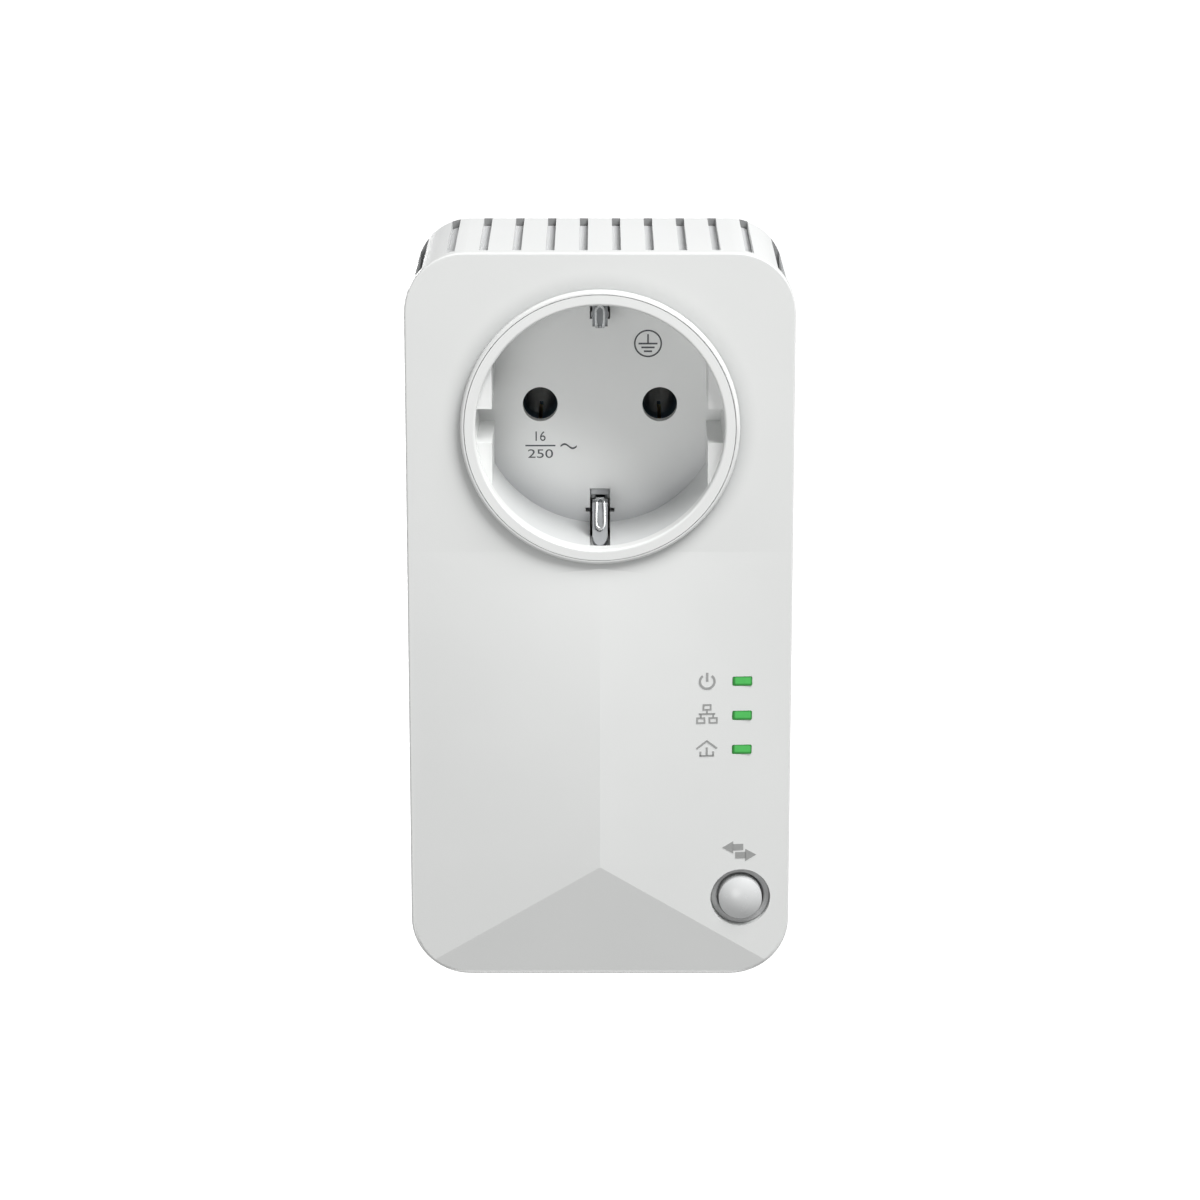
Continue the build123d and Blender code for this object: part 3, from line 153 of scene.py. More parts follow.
class Finish:
    """A material in the making: one Principled shader, fed by nodes that read Object coordinates."""

    def __init__(self, name, **uniform):
        self.material = bpy.data.materials.new(name)
        self.material.use_nodes = True
        self.tree = self.material.node_tree
        self.shader = self.tree.nodes["Principled BSDF"]
        for label, value in uniform.items():
            self.shader.inputs[label.replace("_", " ")].default_value = value
        self.place = self.node("ShaderNodeTexCoord", output="Object")
        self.x = self.node("ShaderNodeSeparateXYZ", {}, {0: self.place}, output=0)
        self.y = self.node("ShaderNodeSeparateXYZ", {}, {0: self.place}, output=1)
        self.z = self.node("ShaderNodeSeparateXYZ", {}, {0: self.place}, output=2)

    def node(self, kind, settings=None, inputs=None, output=0):
        """Add a node, make its settings, fill or link its inputs, and give back one output."""
        made = self.tree.nodes.new(kind)
        for key, value in (settings or {}).items():
            setattr(made, key, value)
        for key, value in (inputs or {}).items():
            if isinstance(value, Wire):
                self.tree.links.new(value.socket, made.inputs[key])
            else:
                made.inputs[key].default_value = value
        return Wire(self, made.outputs[output])

    def noise(self, size, detail=2.0, roughness=0.5, place=None):
        """Soft random variation with blobs about size metres across."""
        return self.node(
            "ShaderNodeTexNoise",
            {},
            {"Vector": place or self.place, "Scale": 1 / size, "Detail": detail, "Roughness": roughness},
        )

    def stretched(self, x, y, z):
        """The place with each axis scaled, for grain that runs one way."""
        return self.node("ShaderNodeVectorMath", {"operation": "MULTIPLY"}, {0: self.place, 1: (x, y, z)})

    def blend(self, share, first, second):
        """A colour between first and second, by share."""
        return self.node("ShaderNodeMix", {"data_type": "RGBA"}, {0: share, 6: first, 7: second}, output=2)

    def bump(self, height, depth):
        """Surface relief from a height pattern that is depth metres deep."""
        return self.node("ShaderNodeBump", {}, {"Height": height, "Distance": depth}, output="Normal")

    def feed(self, **wires):
        """Link patterns to the shader's own sockets."""
        for label, wire in wires.items():
            self.tree.links.new(wire.socket, self.shader.inputs[label.replace("_", " ")])

    def tint(self, share, colour):
        """Blend one more colour over the base colour, by share."""
        so_far = Wire(self, self.shader.inputs["Base Color"].links[0].from_socket)
        self.feed(Base_Color=self.blend(share, so_far, colour))

    def coat(self, piece):
        """Make this the only finish of a piece."""
        piece.data.materials.clear()
        piece.data.materials.append(self.material)

    def paint(self, *names):
        """Give this finish to CAD nodes."""
        for name in names:
            self.coat(nodes[name])


def shade(colour, factor):
    """The same colour, lighter or darker."""
    return (colour[0] * factor, colour[1] * factor, colour[2] * factor, 1)


def radius_from(across, up):
    """The distance from an axis, from two offsets at right angles to it."""
    return (across ** 2.0 + up ** 2.0) ** 0.5


def moulded_plastic(name, colour, roughness, grain_size=0.35 * mm, grain_depth=0.006 * mm, gloss=0.45):
    """A moulded plastic: faint cloudiness in its colour, an eroded grain, and fine handling scuffs."""
    finish = Finish(name, Specular_IOR_Level=gloss)
    cloud = finish.noise(18 * mm, 3.0)
    grain = finish.noise(grain_size, 2.0, 0.6)
    scuff = finish.noise(2.5 * mm, 5.0, 0.7)
    finish.feed(
        Base_Color=finish.blend(cloud, shade(colour, 0.975), shade(colour, 1.025)),
        Roughness=roughness - 0.06 + 0.08 * scuff + 0.05 * grain,
        Normal=finish.bump(grain, grain_depth),
    )
    return finish


panel_white = moulded_plastic("panel_white", (0.80, 0.81, 0.80), 0.46)
collar_radius = 21.75 * mm
collar_top_y = insert_front_y + 0.9 * mm
collar_shade_reach = 3.2 * mm
near_collar = (collar_radius + collar_shade_reach - radius_from(panel_white.x, panel_white.z)) / collar_shade_reach
# Painted shade: the panel is greyed in a band round the collar's foot, standing in for the shade the collar
# throws.
painted_shade_round_collar = near_collar.clamped() ** 2.0 * (panel_white.y > collar_top_y)
panel_white.tint(painted_shade_round_collar * 0.55, (0.30, 0.31, 0.31, 1))
panel_white.paint("front_panel")

tub_white = moulded_plastic("tub_white", (0.82, 0.83, 0.825), 0.42)
tub_normal = tub_white.node("ShaderNodeTexCoord", output="Normal")
tub_normal_y = tub_white.node("ShaderNodeSeparateXYZ", {}, {0: tub_normal}, output=1)
lowest_vent_z = 12 * mm
# Painted shade: faces high on the tub that look to the room, which are the vents' blind rear ends, are
# painted dark grey.
painted_shade_on_vent_ends = (tub_normal_y < -0.5) * (tub_white.z > lowest_vent_z)
tub_white.tint(painted_shade_on_vent_ends * 0.75, (0.12, 0.12, 0.125, 1))
tub_white.paint("rear_housing")


# ---------------------------------------------------------------- vent baffle
# An arched strip of grey plastic lies just under the vent slots and closes the view into the case. It is
# pressed into the tub, and dust settles in patches on it.
baffle_grey = moulded_plastic("baffle_grey", (0.56, 0.565, 0.57), 0.62, 0.5 * mm)
baffle_grey.paint("vent_baffle")


# ---------------------------------------------------------------- plug
# The plug body is a thick white moulding of tougher plastic with a coarser grain. Its solid pins are
# nickel-plated brass, turned and polished, the earth strips are tinned copper and the straps are brass.
plug_white = moulded_plastic("plug_white", (0.80, 0.81, 0.80), 0.50, 0.5 * mm, 0.010 * mm)
plug_white.paint("plug_body")


def plated_metal(name, colour, roughness, brushing=(1, 1, 1), tarnish=0.85, relief=0.004 * mm):
    """Plated or bright metal: fine tool marks along one axis, dull patches and a few bright rubs."""
    finish = Finish(name, Metallic=1.0)
    marks = finish.noise(0.25 * mm, 3.0, 0.6, finish.stretched(*brushing))
    patches = finish.noise(3.5 * mm, 4.0, 0.6)
    finish.feed(
        Base_Color=finish.blend(patches, shade(colour, tarnish), shade(colour, 1.0)),
        Roughness=roughness - 0.05 + 0.14 * patches * marks + 0.06 * marks,
        Normal=finish.bump(marks, relief),
    )
    return finish


pin_nickel = plated_metal("pin_nickel", (0.76, 0.74, 0.69), 0.24, (1, 8, 1))
pin_nickel.paint("plug_pin_left", "plug_pin_right")
tinned_copper = plated_metal("tinned_copper", (0.72, 0.73, 0.74), 0.34, (1, 0.1, 1), 0.78)
tinned_copper.paint("plug_earth_strip_top", "plug_earth_strip_bottom", "earth_bracket")
strap_brass = plated_metal("strap_brass", (0.80, 0.66, 0.38), 0.32, (1, 1, 0.1), 0.8)
strap_brass.paint("mains_strap_left", "mains_strap_right")


# ---------------------------------------------------------------- socket insert
# The round well is a separate moulding in smooth white plastic, pushed through the panel from behind and
# held by two screws. Painted shade greys it low down. Behind its holes sit split sleeves of darkened bronze.
well_white = moulded_plastic("well_white", (0.84, 0.85, 0.84), 0.36, 0.20 * mm, 0.003 * mm)
well_floor_y = insert_front_y + 17.5 * mm
wall_end_y = well_floor_y - 0.05 * mm
wall_start_y = well_floor_y - 15 * mm
# Painted shade: the floor near the wall and the wall itself are greyed in the well's lower half, standing in
# for shade there.
lowness = (-1 * well_white.z / (14 * mm)).clamped()
nearness_to_wall = ((radius_from(well_white.x, well_white.z) - 9 * mm) / (10 * mm)).clamped() ** 1.5
on_floor = well_white.y > wall_end_y
on_wall = (well_white.y < wall_end_y) * (well_white.y > wall_start_y)
painted_shade_low_in_well = (nearness_to_wall * on_floor * lowness * 0.75 + on_wall * lowness * 0.38).clamped()
well_white.tint(painted_shade_low_in_well, (0.40, 0.41, 0.425, 1))
well_white.paint("socket_insert")

sleeve_bronze = plated_metal("sleeve_bronze", (0.075, 0.115, 0.15), 0.42, (1, 0.1, 1), 0.6)
sleeve_bronze.shader.inputs["Metallic"].default_value = 0.5
sleeve_bronze.paint("contact_sleeve_left", "contact_sleeve_right")


# ---------------------------------------------------------------- socket markings
# The earth sign, the current and voltage ratings and the alternating-current wave are printed in dark grey
# ink on the well's floor, by pad printing before the insert goes in.
def mesh_parts_joined(parts, name):
    """Join the parts into one object at the origin, with its place in its mesh."""
    bpy.ops.object.select_all(action="DESELECT")
    for part in parts:
        part.select_set(True)
    bpy.context.view_layer.objects.active = parts[0]
    bpy.ops.object.convert(target="MESH")
    bpy.ops.object.join()
    joined = bpy.context.object
    joined.name = name
    bpy.ops.object.transform_apply(location=True, rotation=True, scale=True)
    return joined


def flat_bar(x, y, z, length, width, turn=0.0):
    """A flat bar of ink that faces the room; a positive turn lowers its right end."""
    bpy.ops.object.select_all(action="DESELECT")
    bpy.ops.mesh.primitive_plane_add(size=1.0, location=(x, y, z), rotation=(math.pi / 2, turn, 0))
    bar = bpy.context.object
    bar.scale = (length, width, 1)
    bpy.ops.object.transform_apply(location=True, rotation=True, scale=True)
    bpy.ops.object.mode_set(mode="EDIT")
    bpy.ops.mesh.subdivide(number_cuts=3)
    bpy.ops.object.mode_set(mode="OBJECT")
    return bar


def annulus(x, y, z, radius, stroke, points, tilt):
    """A flat ring of faces round a place, tilted about the left-to-right axis."""
    inner_radius = radius - stroke / 2
    bpy.ops.object.select_all(action="DESELECT")
    bpy.ops.mesh.primitive_circle_add(
        vertices=points, radius=inner_radius, fill_type="NOTHING", location=(x, y, z), rotation=(tilt, 0, 0)
    )
    bpy.ops.object.transform_apply(location=True, rotation=True, scale=True)
    bpy.ops.object.mode_set(mode="EDIT")
    bpy.ops.mesh.select_all(action="SELECT")
    bpy.ops.mesh.extrude_region_move()
    grown = (radius + stroke / 2) / inner_radius
    bpy.ops.transform.resize(value=(grown, grown, grown), center_override=(x, y, z))
    bpy.ops.mesh.select_all(action="DESELECT")
    bpy.ops.object.mode_set(mode="OBJECT")
    return bpy.context.object


def flat_ring(x, y, z, radius, stroke, opening=0.0):
    """A flat ring of ink that faces the room, open at its top by the given angle."""
    ring = annulus(x, y, z, radius, stroke, 48, math.pi / 2)
    for face in ring.data.polygons:
        away = math.atan2(face.center.x - x, face.center.z - z)
        face.select = abs(away) < opening / 2
    bpy.ops.object.mode_set(mode="EDIT")
    bpy.ops.mesh.delete(type="FACE")
    bpy.ops.object.mode_set(mode="OBJECT")
    return ring


def figures(text, x, y, z, height, stretch):
    """Plain figures of about the given height, centred at a place and widened by stretch."""
    height_share_of_size = 0.72
    bpy.ops.object.select_all(action="DESELECT")
    bpy.ops.object.text_add(location=(x, y, z), rotation=(math.pi / 2, 0, 0))
    letters = bpy.context.object
    letters.data.body = text
    letters.data.align_x = "CENTER"
    letters.data.align_y = "CENTER"
    letters.data.size = height / height_share_of_size
    letters.scale.x = stretch
    bpy.ops.object.convert(target="MESH")
    bpy.ops.object.transform_apply(location=True, rotation=True, scale=True)
    return bpy.context.object


def take_up(piece):
    """Select one piece alone and make it active."""
    bpy.ops.object.select_all(action="DESELECT")
    piece.select_set(True)
    bpy.context.view_layer.objects.active = piece


def modify(piece, kind, **settings):
    """Put a modifier on a piece and apply it."""
    take_up(piece)
    change = piece.modifiers.new(kind.lower(), kind)
    for setting, value in settings.items():
        setattr(change, setting, value)
    bpy.ops.object.modifier_apply(modifier=change.name)


def inked(piece, thickness):
    """Give flat print a thickness towards the room, and close it."""
    take_up(piece)
    bpy.ops.object.mode_set(mode="EDIT")
    bpy.ops.mesh.select_all(action="SELECT")
    bpy.ops.mesh.remove_doubles(threshold=0.0005 * mm)
    bpy.ops.mesh.normals_make_consistent(inside=False)
    bpy.ops.object.mode_set(mode="OBJECT")
    if sum(face.normal.y * face.area for face in piece.data.polygons) > 0:
        piece.data.flip_normals()
    modify(piece, "SOLIDIFY", thickness=thickness, offset=1.0)


def printing_ink(name, colour):
    """Matt pad-printing ink, a little thinner in places."""
    finish = Finish(name, Specular_IOR_Level=0.3)
    cover = finish.noise(0.5 * mm, 4.0, 0.7)
    finish.feed(
        Base_Color=finish.blend(cover, shade(colour, 0.88), shade(colour, 1.15)),
        Roughness=0.55 + 0.1 * cover,
        Normal=finish.bump(finish.noise(0.12 * mm), 0.002 * mm),
    )
    return finish


mark_y = well_floor_y - 0.01 * mm
earth_x = 7.6 * mm
earth_z = 9.85 * mm
earth_line = 0.24 * mm
marks = [flat_ring(earth_x, mark_y, earth_z, 2.1 * mm, earth_line)]
marks.append(flat_bar(earth_x, mark_y, earth_z + 0.75 * mm, earth_line, 1.5 * mm))
for row, row_length in enumerate((3.0 * mm, 2.1 * mm, 1.3 * mm)):
    row_z = earth_z - 0.02 * mm - row * 0.62 * mm
    marks.append(flat_bar(earth_x, mark_y, row_z, row_length, 0.26 * mm))

rating_x = -9.5 * mm
rating_line_z = -6.75 * mm
marks.append(figures("16", rating_x - 0.15 * mm, mark_y, rating_line_z + 1.45 * mm, 1.62 * mm, 0.93))
marks.append(flat_bar(rating_x, mark_y, rating_line_z, 4.8 * mm, 0.22 * mm))
marks.append(figures("250", rating_x, mark_y, rating_line_z - 1.40 * mm, 1.45 * mm, 1.38))

wave_x = -5.0 * mm
wave_z = -6.85 * mm
wave_length = 2.6 * mm
wave_line = 0.30 * mm
wave_swing = 0.34 * mm
bpy.ops.object.select_all(action="DESELECT")
bpy.ops.mesh.primitive_grid_add(
    x_subdivisions=20,
    y_subdivisions=1,
    size=1.0,
    location=(wave_x, mark_y, wave_z),
    rotation=(math.pi / 2, 0, 0),
)
wave = bpy.context.object
wave.scale = (wave_length, wave_line, 1)
bpy.ops.object.transform_apply(location=True, rotation=True, scale=True)
for corner in wave.data.vertices:
    corner.co.z += wave_swing * math.sin(2 * math.pi * (corner.co.x - wave_x + wave_length / 2) / wave_length)
marks.append(wave)

socket_markings = mesh_parts_joined(marks, "socket_markings")
inked(socket_markings, 0.03 * mm)
well_ink = printing_ink("well_ink", (0.10, 0.105, 0.11))
well_ink.coat(socket_markings)
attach(socket_markings, "adapter")


# ---------------------------------------------------------------- earth clips
# The two clips are bent from spring steel strip and nickel-plated. A U-shaped bead is pressed in the nose of
# each, so that it meets the plug's earth strip on a narrow line. A fixed foot of tinned strip closes each
# clip's slot just under the well's floor.
# One nickel plating in two copies: the clip's steel is darker as painted shade, and the bead's steel lighter
# as painted highlight.
spring_steel = plated_metal("spring_steel", (0.34, 0.35, 0.36), 0.30, (1, 0.1, 0.1), 0.6, 0.0006 * mm)
spring_steel.paint("earth_clip_top", "earth_clip_bottom")

bead_steel_painted_highlight = plated_metal("bead_steel_painted_highlight", (0.66, 0.67, 0.68), 0.22, (1, 0.1, 0.1), 0.8, 0.0006 * mm)
foot_tin = plated_metal("foot_tin", (0.50, 0.51, 0.52), 0.48, (1, 1, 0.2), 0.8, 0.002 * mm)
foot_tin.shader.inputs["Metallic"].default_value = 0.3
bead_leg_x = 0.66 * mm
bead_stroke = 0.34 * mm
bead_height = 0.28 * mm
bead_nose = 1.6 * mm
bead_root = 6.6 * mm
bead_start_z = 10 * mm
foot_size = (2.9 * mm, 0.5 * mm, 1.0 * mm)
foot_depth = 0.75 * mm
foot_z = 14.45 * mm
for side, clip in ((1, "earth_clip_top"), (-1, "earth_clip_bottom")):
    clip_front_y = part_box(clip)[0].y
    bead_round_y = clip_front_y + bead_nose + bead_leg_x
    bead_root_y = clip_front_y + bead_root

    # A ring is drawn out into a long loop, pressed onto the strip from the well's axis, and thickened.
    bead = annulus(0, bead_round_y, side * bead_start_z, bead_leg_x, bead_stroke, 32, 0)
    bead.name = "bead_of_" + clip
    for corner in bead.data.vertices:
        if corner.co.y > bead_round_y:
            share = (corner.co.y - bead_round_y) / (bead_leg_x + bead_stroke / 2)
            corner.co.y = bead_round_y + share * (bead_root_y - bead_round_y)
    bpy.ops.object.mode_set(mode="EDIT")
    bpy.ops.mesh.select_all(action="SELECT")
    bpy.ops.mesh.subdivide(number_cuts=2)
    bpy.ops.object.mode_set(mode="OBJECT")
    modify(
        bead,
        "SHRINKWRAP",
        target=nodes[clip],
        wrap_method="PROJECT",
        use_project_x=False,
        use_project_y=False,
        use_project_z=True,
        use_positive_direction=side > 0,
        use_negative_direction=side < 0,
    )
    if sum(face.normal.z * face.area for face in bead.data.polygons) * side > 0:
        bead.data.flip_normals()
    modify(bead, "SOLIDIFY", thickness=bead_height, offset=1.0)
    modify(bead, "BEVEL", width=0.08 * mm, segments=2)
    bpy.ops.object.shade_smooth_by_angle(angle=math.radians(50))
    bead_steel_painted_highlight.coat(bead)
    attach(bead, clip)

    bpy.ops.object.select_all(action="DESELECT")
    bpy.ops.mesh.primitive_cube_add(size=1.0, location=(0, well_floor_y + foot_depth, side * foot_z))
    foot = bpy.context.object
    foot.name = "foot_of_" + clip
    foot.scale = foot_size
    bpy.ops.object.transform_apply(location=True, rotation=True, scale=True)
    modify(foot, "BEVEL", width=0.12 * mm, segments=3)
    bpy.ops.object.shade_smooth_by_angle(angle=math.radians(40))
    foot_tin.coat(foot)
    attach(foot, "adapter")


# ---------------------------------------------------------------- status icons
# Left of the lights the panel carries three pad-printed signs in mid grey: power, wired network and home.
# A pair of arrows in the same ink stands over the pairing button.
icon_x = 16.9 * mm
icon_front_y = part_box("front_panel")[0].y - 1 * mm
power_z = -40.9 * mm
power_line = 0.37 * mm
signs = [
    flat_ring(icon_x, icon_front_y, power_z, 1.15 * mm, power_line, math.radians(80)),
    flat_bar(icon_x, icon_front_y, power_z + 0.72 * mm, power_line, 1.45 * mm),
]


def flat_frame(x, y, z, width, height, line):
    """A flat rectangular frame of ink that faces the room."""
    frame_plate = flat_bar(x, y, z, width, height)
    bpy.ops.object.mode_set(mode="EDIT")
    bpy.ops.mesh.select_all(action="SELECT")
    bpy.ops.mesh.inset(thickness=line)
    bpy.ops.mesh.delete(type="FACE")
    bpy.ops.object.mode_set(mode="OBJECT")
    return frame_plate


network_z = -46.15 * mm
network_line = 0.27 * mm
box_height = 1.05 * mm
link_height = 0.60 * mm
signs.append(flat_frame(icon_x, icon_front_y, network_z + 1.05 * mm, 1.40 * mm, box_height, network_line))
for side in (-1, 1):
    branch_x = icon_x + side * 0.98 * mm
    branch_z = network_z - 1.10 * mm
    signs.append(flat_frame(branch_x, icon_front_y, branch_z, 1.45 * mm, box_height, network_line))
    signs.append(flat_bar(branch_x, icon_front_y, network_z - 0.33 * mm, network_line, link_height))
signs.append(flat_bar(icon_x, icon_front_y, network_z - 0.03 * mm, 2.60 * mm, network_line))
signs.append(flat_bar(icon_x, icon_front_y, network_z + 0.26 * mm, network_line, link_height))

home_z = -52.1 * mm
home_line = 0.30 * mm
roof_slope = math.radians(37.5)
for side in (-1, 1):
    roof_x = icon_x + side * 0.80 * mm
    wall_x = icon_x + side * 1.02 * mm
    signs.append(flat_bar(roof_x, icon_front_y, home_z + 0.85 * mm, 2.10 * mm, home_line, side * roof_slope))
    signs.append(flat_bar(wall_x, icon_front_y, home_z - 0.62 * mm, home_line, 0.75 * mm))
signs.append(flat_bar(icon_x, icon_front_y, home_z - 0.95 * mm, 2.30 * mm, home_line))
signs.append(flat_bar(icon_x, icon_front_y, home_z - 0.28 * mm, 0.32 * mm, 1.40 * mm))

arrow_x = 22.2 * mm
arrow_z = -69.12 * mm
head_radius = 1.18 * mm
for side in (-1, 1):
    arrow_row_z = arrow_z - side * 0.68 * mm
    signs.append(flat_bar(arrow_x + side * 0.21 * mm, icon_front_y, arrow_row_z, 1.70 * mm, 1.05 * mm))
    bpy.ops.object.select_all(action="DESELECT")
    bpy.ops.mesh.primitive_circle_add(
        vertices=3,
        radius=head_radius,
        fill_type="NGON",
        location=(arrow_x + side * 1.55 * mm, icon_front_y, arrow_row_z),
        rotation=(math.pi / 2, side * math.pi / 2, 0),
    )
    signs.append(bpy.context.object)

# The flat print is pressed onto the panel's shallow relief before it gets its thickness.
panel_print = mesh_parts_joined(signs, "panel_print")
modify(
    panel_print,
    "SHRINKWRAP",
    target=nodes["front_panel"],
    wrap_method="PROJECT",
    use_project_x=False,
    use_project_y=True,
    use_project_z=False,
    use_positive_direction=True,
    use_negative_direction=False,
    offset=0.01 * mm,
)
inked(panel_print, 0.04 * mm)
panel_ink = printing_ink("panel_ink", (0.36, 0.365, 0.36))
panel_ink.coat(panel_print)
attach(panel_print, "adapter")


# ---------------------------------------------------------------- status lights
# Three clear rods on one web carry light from the board to the windows, where they glow green. A black
# frame keeps their light apart, and the lamps themselves are tiny moulded chips.
guide_green = Finish("guide_green", Roughness=0.18, IOR=1.49, Emission_Strength=0.18)
guide_low, guide_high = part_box("light_guide")
light_pitch = 5.61 * mm
top_light_z = guide_high.z - 2.2 * mm
bright_offset = 0.12 * mm
bright_x = (guide_low.x + guide_high.x) / 2 + bright_offset
edge_width = 0.25 * mm
guide_glow = guide_green.noise(0.9 * mm, 2.0)
# Painted shade: each window's colour and glow are darker towards its edges, standing in for the shade of its
# recess.
from_light = (guide_green.z - (top_light_z - light_pitch / 2)) % light_pitch - light_pitch / 2
side_edge = (abs(guide_green.x - bright_x) - 1.15 * mm) / edge_width
level_edge = (abs(from_light - bright_offset) - 0.42 * mm) / edge_width
painted_shade_at_window_edges = (side_edge.clamped() + level_edge.clamped()).clamped()
guide_green.feed(
    Base_Color=guide_green.blend(
        (guide_glow * 0.3 + painted_shade_at_window_edges * 0.8).clamped(), (0.085, 0.50, 0.11, 1), (0.03, 0.22, 0.04, 1)
    ),
    Emission_Color=guide_green.blend(painted_shade_at_window_edges, (0.10, 0.60, 0.13, 1), (0.015, 0.12, 0.02, 1)),
    Normal=guide_green.bump(guide_glow, 0.01 * mm),
)
guide_green.paint("light_guide")
shield_black = moulded_plastic("shield_black", (0.025, 0.025, 0.027), 0.5, 0.2 * mm)
shield_black.paint("light_shield")
led_body = moulded_plastic("led_body", (0.75, 0.78, 0.62), 0.3, 0.2 * mm)
led_body.paint("status_leds")


# ---------------------------------------------------------------- pairing button
# The domed cap is white plastic polished by fingers, in a dark grey ring pushed into the panel. Behind it a
# grey plunger works a small black key switch on the board.
cap_white = moulded_plastic("cap_white", (0.68, 0.69, 0.69), 0.26, 0.4 * mm, 0.002 * mm, 0.5)
cap_white.paint("pair_button")
ring_grey = moulded_plastic("ring_grey", (0.42, 0.425, 0.425), 0.40, 0.25 * mm, 0.004 * mm)
ring_grey.paint("button_ring")
switch_black = moulded_plastic("switch_black", (0.03, 0.03, 0.032), 0.5, 0.25 * mm)
switch_black.paint("pair_switch", "reset_switch")
plunger_grey = moulded_plastic("plunger_grey", (0.42, 0.42, 0.43), 0.42, 0.25 * mm)
plunger_grey.paint("pair_plunger", "reset_plunger")


# ---------------------------------------------------------------- screws
# Cross-recessed screws of zinc-plated steel with a faint blue-yellow passivation hold the case, the socket
# insert and both boards.
screw_zinc = plated_metal("screw_zinc", (0.62, 0.62, 0.58), 0.34, (1, 1, 1), 0.72, 0.006 * mm)
screw_zinc.paint("case_screws", "insert_screws", "main_board_screws", "power_board_screws")


# ---------------------------------------------------------------- boards
# The main board is glass-fibre laminate with green solder mask over copper tracks, and the power board is
# plain tan laminate. Both have tinned pads on a grid.
def circuit_board(name, mask, track, track_share, pitch):
    """Laminate with raised tracks under its mask, rows of tinned pads and a faint glass weave."""
    finish = Finish(name, Specular_IOR_Level=0.55)
    run = finish.noise(3.2 * mm, 1.0, 0.3, finish.stretched(1.0, 1.0, 0.35))
    cross_run = finish.noise(3.2 * mm, 1.0, 0.3, finish.stretched(0.35, 1.0, 1.0))
    tracks = (abs(run % 0.06 - 0.03) < track_share * 0.03) * (run > 0.5)
    cross_tracks = (abs(cross_run % 0.07 - 0.035) < track_share * 0.03) * (cross_run < 0.48)
    copper = (tracks + cross_tracks).clamped()
    pad_x = abs(finish.x % pitch - pitch / 2)
    pad_z = abs(finish.z % pitch - pitch / 2)
    pads = (radius_from(pad_x, pad_z) < 0.32 * mm) * (finish.noise(4 * mm, 1.0) > 0.56)
    weave = finish.noise(0.4 * mm, 1.0, 0.5)
    colour = finish.blend(copper, mask, track)
    finish.feed(
        Base_Color=finish.blend(pads, colour, (0.72, 0.73, 0.74, 1)),
        Metallic=pads * 0.9,
        Roughness=0.28 + 0.1 * weave,
        Normal=finish.bump(copper * 0.7 + pads + weave * 0.15, 0.03 * mm),
    )
    return finish


pad_pitch = 2.54 * mm
main_laminate = circuit_board("main_laminate", (0.02, 0.16, 0.06, 1), (0.04, 0.28, 0.11, 1), 0.55, pad_pitch)
main_laminate.paint("main_board")
power_laminate = circuit_board("power_laminate", (0.46, 0.33, 0.16, 1), (0.58, 0.40, 0.20, 1), 0.7, pad_pitch)
power_laminate.paint("power_board")


# ---------------------------------------------------------------- parts on the boards
# Chips are black moulded epoxy with a dull top, the crystal is a pressed nickel can and the heat sink is
# clear-anodised extruded aluminium. The header's pins and the jack's spring wires are gold-flashed.
chip_epoxy = moulded_plastic("chip_epoxy", (0.04, 0.04, 0.045), 0.55, 0.12 * mm, 0.010 * mm)
chip_epoxy.paint(
    "processor_chip", "memory_chip", "supply_controller", "opto_coupler", "bridge_rectifier", "line_fuse"
)
block_black = moulded_plastic("block_black", (0.03, 0.03, 0.032), 0.42, 0.3 * mm)
block_black.paint("board_header", "transformer_base", "line_magnetics")
crystal_can = plated_metal("crystal_can", (0.70, 0.69, 0.66), 0.22)
crystal_can.paint("clock_crystal")
sink_anodised = plated_metal("sink_anodised", (0.58, 0.59, 0.60), 0.38, (1, 1, 0.05), 0.8)
sink_anodised.paint("heat_sink")
gold_flash = plated_metal("gold_flash", (0.86, 0.64, 0.27), 0.22, (1, 1, 0.1))
gold_flash.paint("header_pins", "jack_wires")


# ---------------------------------------------------------------- wound and power parts
# Ferrite cores are sintered and matt grey-black, the transformer's winding is wrapped in yellow tape, the
# choke is wound with bare-looking enamelled copper and the capacitors are in printed sleeves and boxes.
ferrite = Finish("ferrite", Specular_IOR_Level=0.4)
sinter = ferrite.noise(0.15 * mm, 3.0, 0.8)
ferrite.feed(
    Base_Color=ferrite.blend(sinter, (0.045, 0.045, 0.05, 1), (0.11, 0.11, 0.115, 1)),
    Roughness=0.5 + 0.25 * sinter,
    Normal=ferrite.bump(sinter, 0.02 * mm),
)
ferrite.paint("transformer_core", "choke_core")

winding_tape = Finish("winding_tape", Specular_IOR_Level=0.5)
half_turn = 0.8 * mm
tape_turn = abs(winding_tape.y % (2 * half_turn) - half_turn) / half_turn
tape_crease = winding_tape.noise(1.2 * mm, 4.0, 0.6, winding_tape.stretched(0.5, 2.0, 0.5))
winding_tape.feed(
    Base_Color=winding_tape.blend(
        tape_turn * 0.5 + tape_crease * 0.4, (0.86, 0.62, 0.05, 1), (0.66, 0.42, 0.03, 1)
    ),
    Roughness=0.22 + 0.2 * tape_crease,
    Normal=winding_tape.bump(tape_turn + tape_crease * 0.5, 0.04 * mm),
)
winding_tape.paint("transformer_winding")

copper_wire = plated_metal("copper_wire", (0.78, 0.32, 0.12), 0.20, (1, 1, 1), 0.7)
copper_wire.paint("choke_winding")

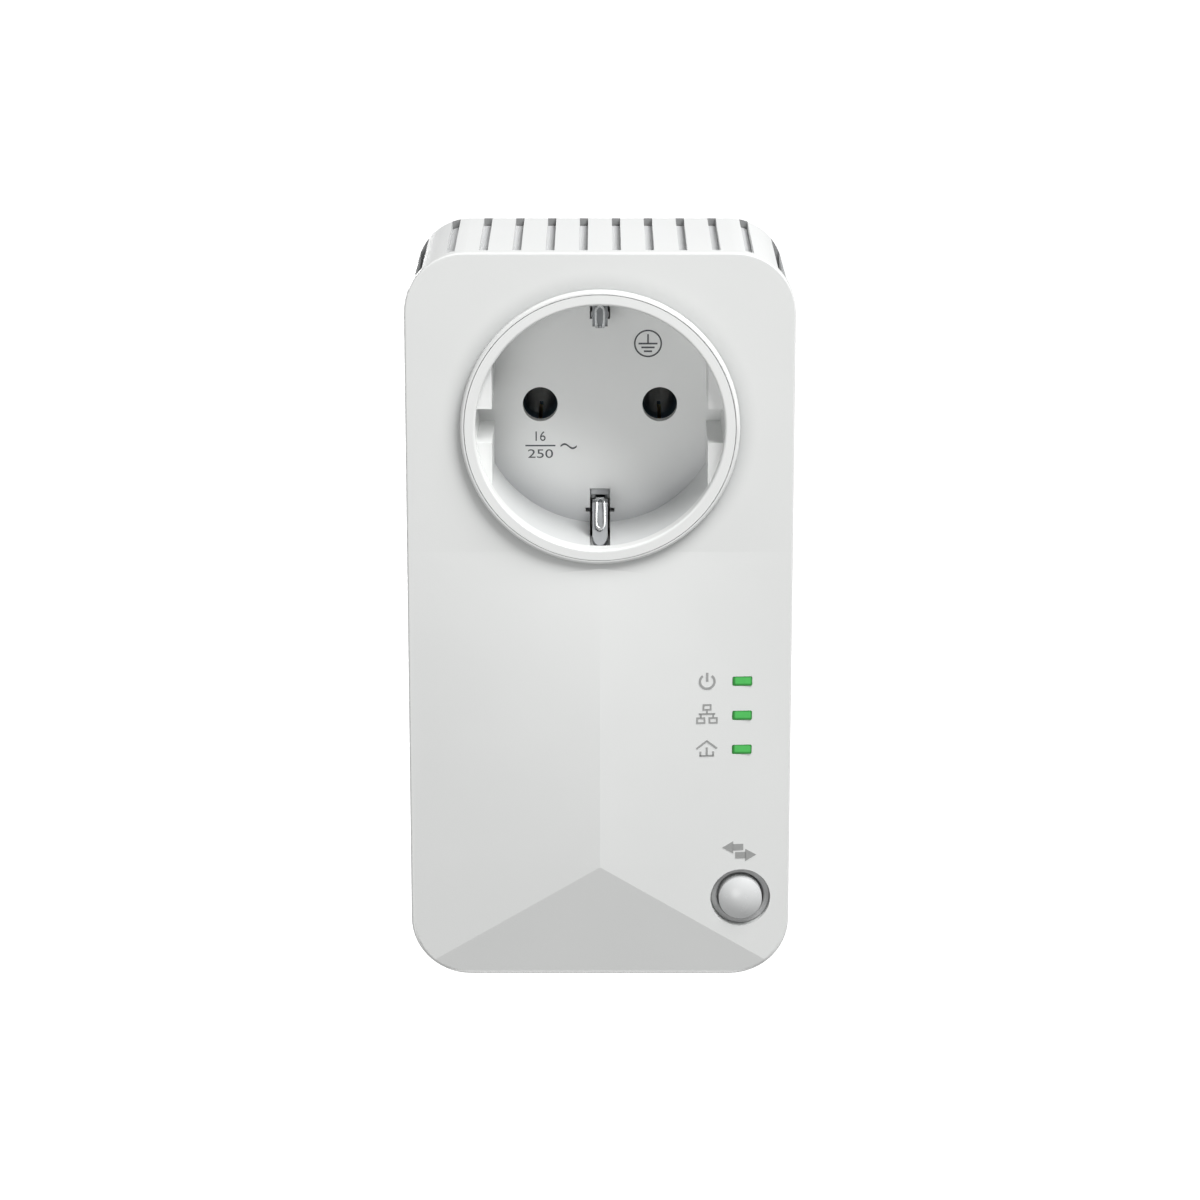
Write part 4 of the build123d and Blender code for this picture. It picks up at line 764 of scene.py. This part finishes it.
capacitor_sleeve = Finish("capacitor_sleeve", Roughness=0.25, Coat_Weight=0.3)
sleeve_shrink = capacitor_sleeve.noise(1.4 * mm, 4.0, 0.6)
stripe_pitch = 10.3 * mm
sleeve_stripe = abs(capacitor_sleeve.z % stripe_pitch - stripe_pitch / 2) < 0.9 * mm
capacitor_sleeve.feed(
    Base_Color=capacitor_sleeve.blend(
        sleeve_stripe * (0.75 + 0.2 * sleeve_shrink), (0.02, 0.028, 0.07, 1), (0.50, 0.52, 0.54, 1)
    ),
    Normal=capacitor_sleeve.bump(sleeve_shrink, 0.03 * mm),
)
capacitor_sleeve.paint("bulk_capacitors", "output_capacitors")

film_yellow = moulded_plastic("film_yellow", (0.70, 0.50, 0.06), 0.38, 0.3 * mm)
film_yellow.paint("line_capacitor")
coupling_black = moulded_plastic("coupling_black", (0.05, 0.06, 0.09), 0.35, 0.3 * mm)
coupling_black.paint("coupling_transformer")
disc_blue = moulded_plastic("disc_blue", (0.03, 0.14, 0.42), 0.32, 0.6 * mm, 0.03 * mm)
disc_blue.paint("surge_disc", "safety_capacitor")


# ---------------------------------------------------------------- network jack
# The jack's shield is folded from tin-plated steel around a black nylon body, with eight gold-flashed
# spring wires in its cavity.
jack_shield = plated_metal("jack_shield", (0.66, 0.67, 0.67), 0.30, (1, 1, 0.08), 0.75)
jack_shield.paint("jack_shield")
jack_nylon = moulded_plastic("jack_nylon", (0.035, 0.035, 0.037), 0.48, 0.25 * mm)
jack_nylon.paint("jack_housing")


# ---------------------------------------------------------------- rating label
# A satin polyester label sits in a shallow recess on the wall side. Its print is only a border, ruled rows
# and blank fields, since it carries no wording.
label_film = Finish("label_film", Specular_IOR_Level=0.5)
label_fibre = label_film.noise(0.6 * mm, 4.0, 0.7)
label_film.feed(
    Base_Color=label_film.blend(label_fibre, (0.70, 0.71, 0.72, 1), (0.78, 0.79, 0.80, 1)),
    Roughness=0.32 + 0.12 * label_fibre,
    Normal=label_film.bump(label_fibre, 0.006 * mm),
)
label_film.paint("rating_label")

label_low, label_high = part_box("rating_label")
label_back_y = label_high.y
label_mid_x = (label_low.x + label_high.x) / 2
label_mid_z = (label_low.z + label_high.z) / 2
border_width = label_high.x - label_low.x - 2 * mm
border_height = label_high.z - label_low.z - 2 * mm
rule = 0.18 * mm
rows = [flat_frame(label_mid_x, label_back_y, label_mid_z, border_width, border_height, rule)]
for row, row_length in enumerate((25.8 * mm, 18.6 * mm, 22.2 * mm, 14.4 * mm)):
    row_x = label_high.x - 2.4 * mm - row_length / 2
    row_z = label_high.z - 4 * mm - row * 2.6 * mm
    rows.append(flat_bar(row_x, label_back_y, row_z, row_length, 0.8 * mm))
for column in (-1, 0, 1):
    field_x = label_mid_x + column * 10 * mm
    rows.append(flat_frame(field_x, label_back_y, label_low.z + 5.6 * mm, 8 * mm, 6 * mm, rule))

# The print is made facing the room, so it is turned over to face the wall.
label_print = mesh_parts_joined(rows, "label_print")
inked(label_print, 0.02 * mm)
for corner in label_print.data.vertices:
    corner.co.y = 2 * label_back_y - corner.co.y
label_print.data.flip_normals()
label_ink = printing_ink("label_ink", (0.10, 0.10, 0.11))
label_ink.coat(label_print)
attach(label_print, "adapter")
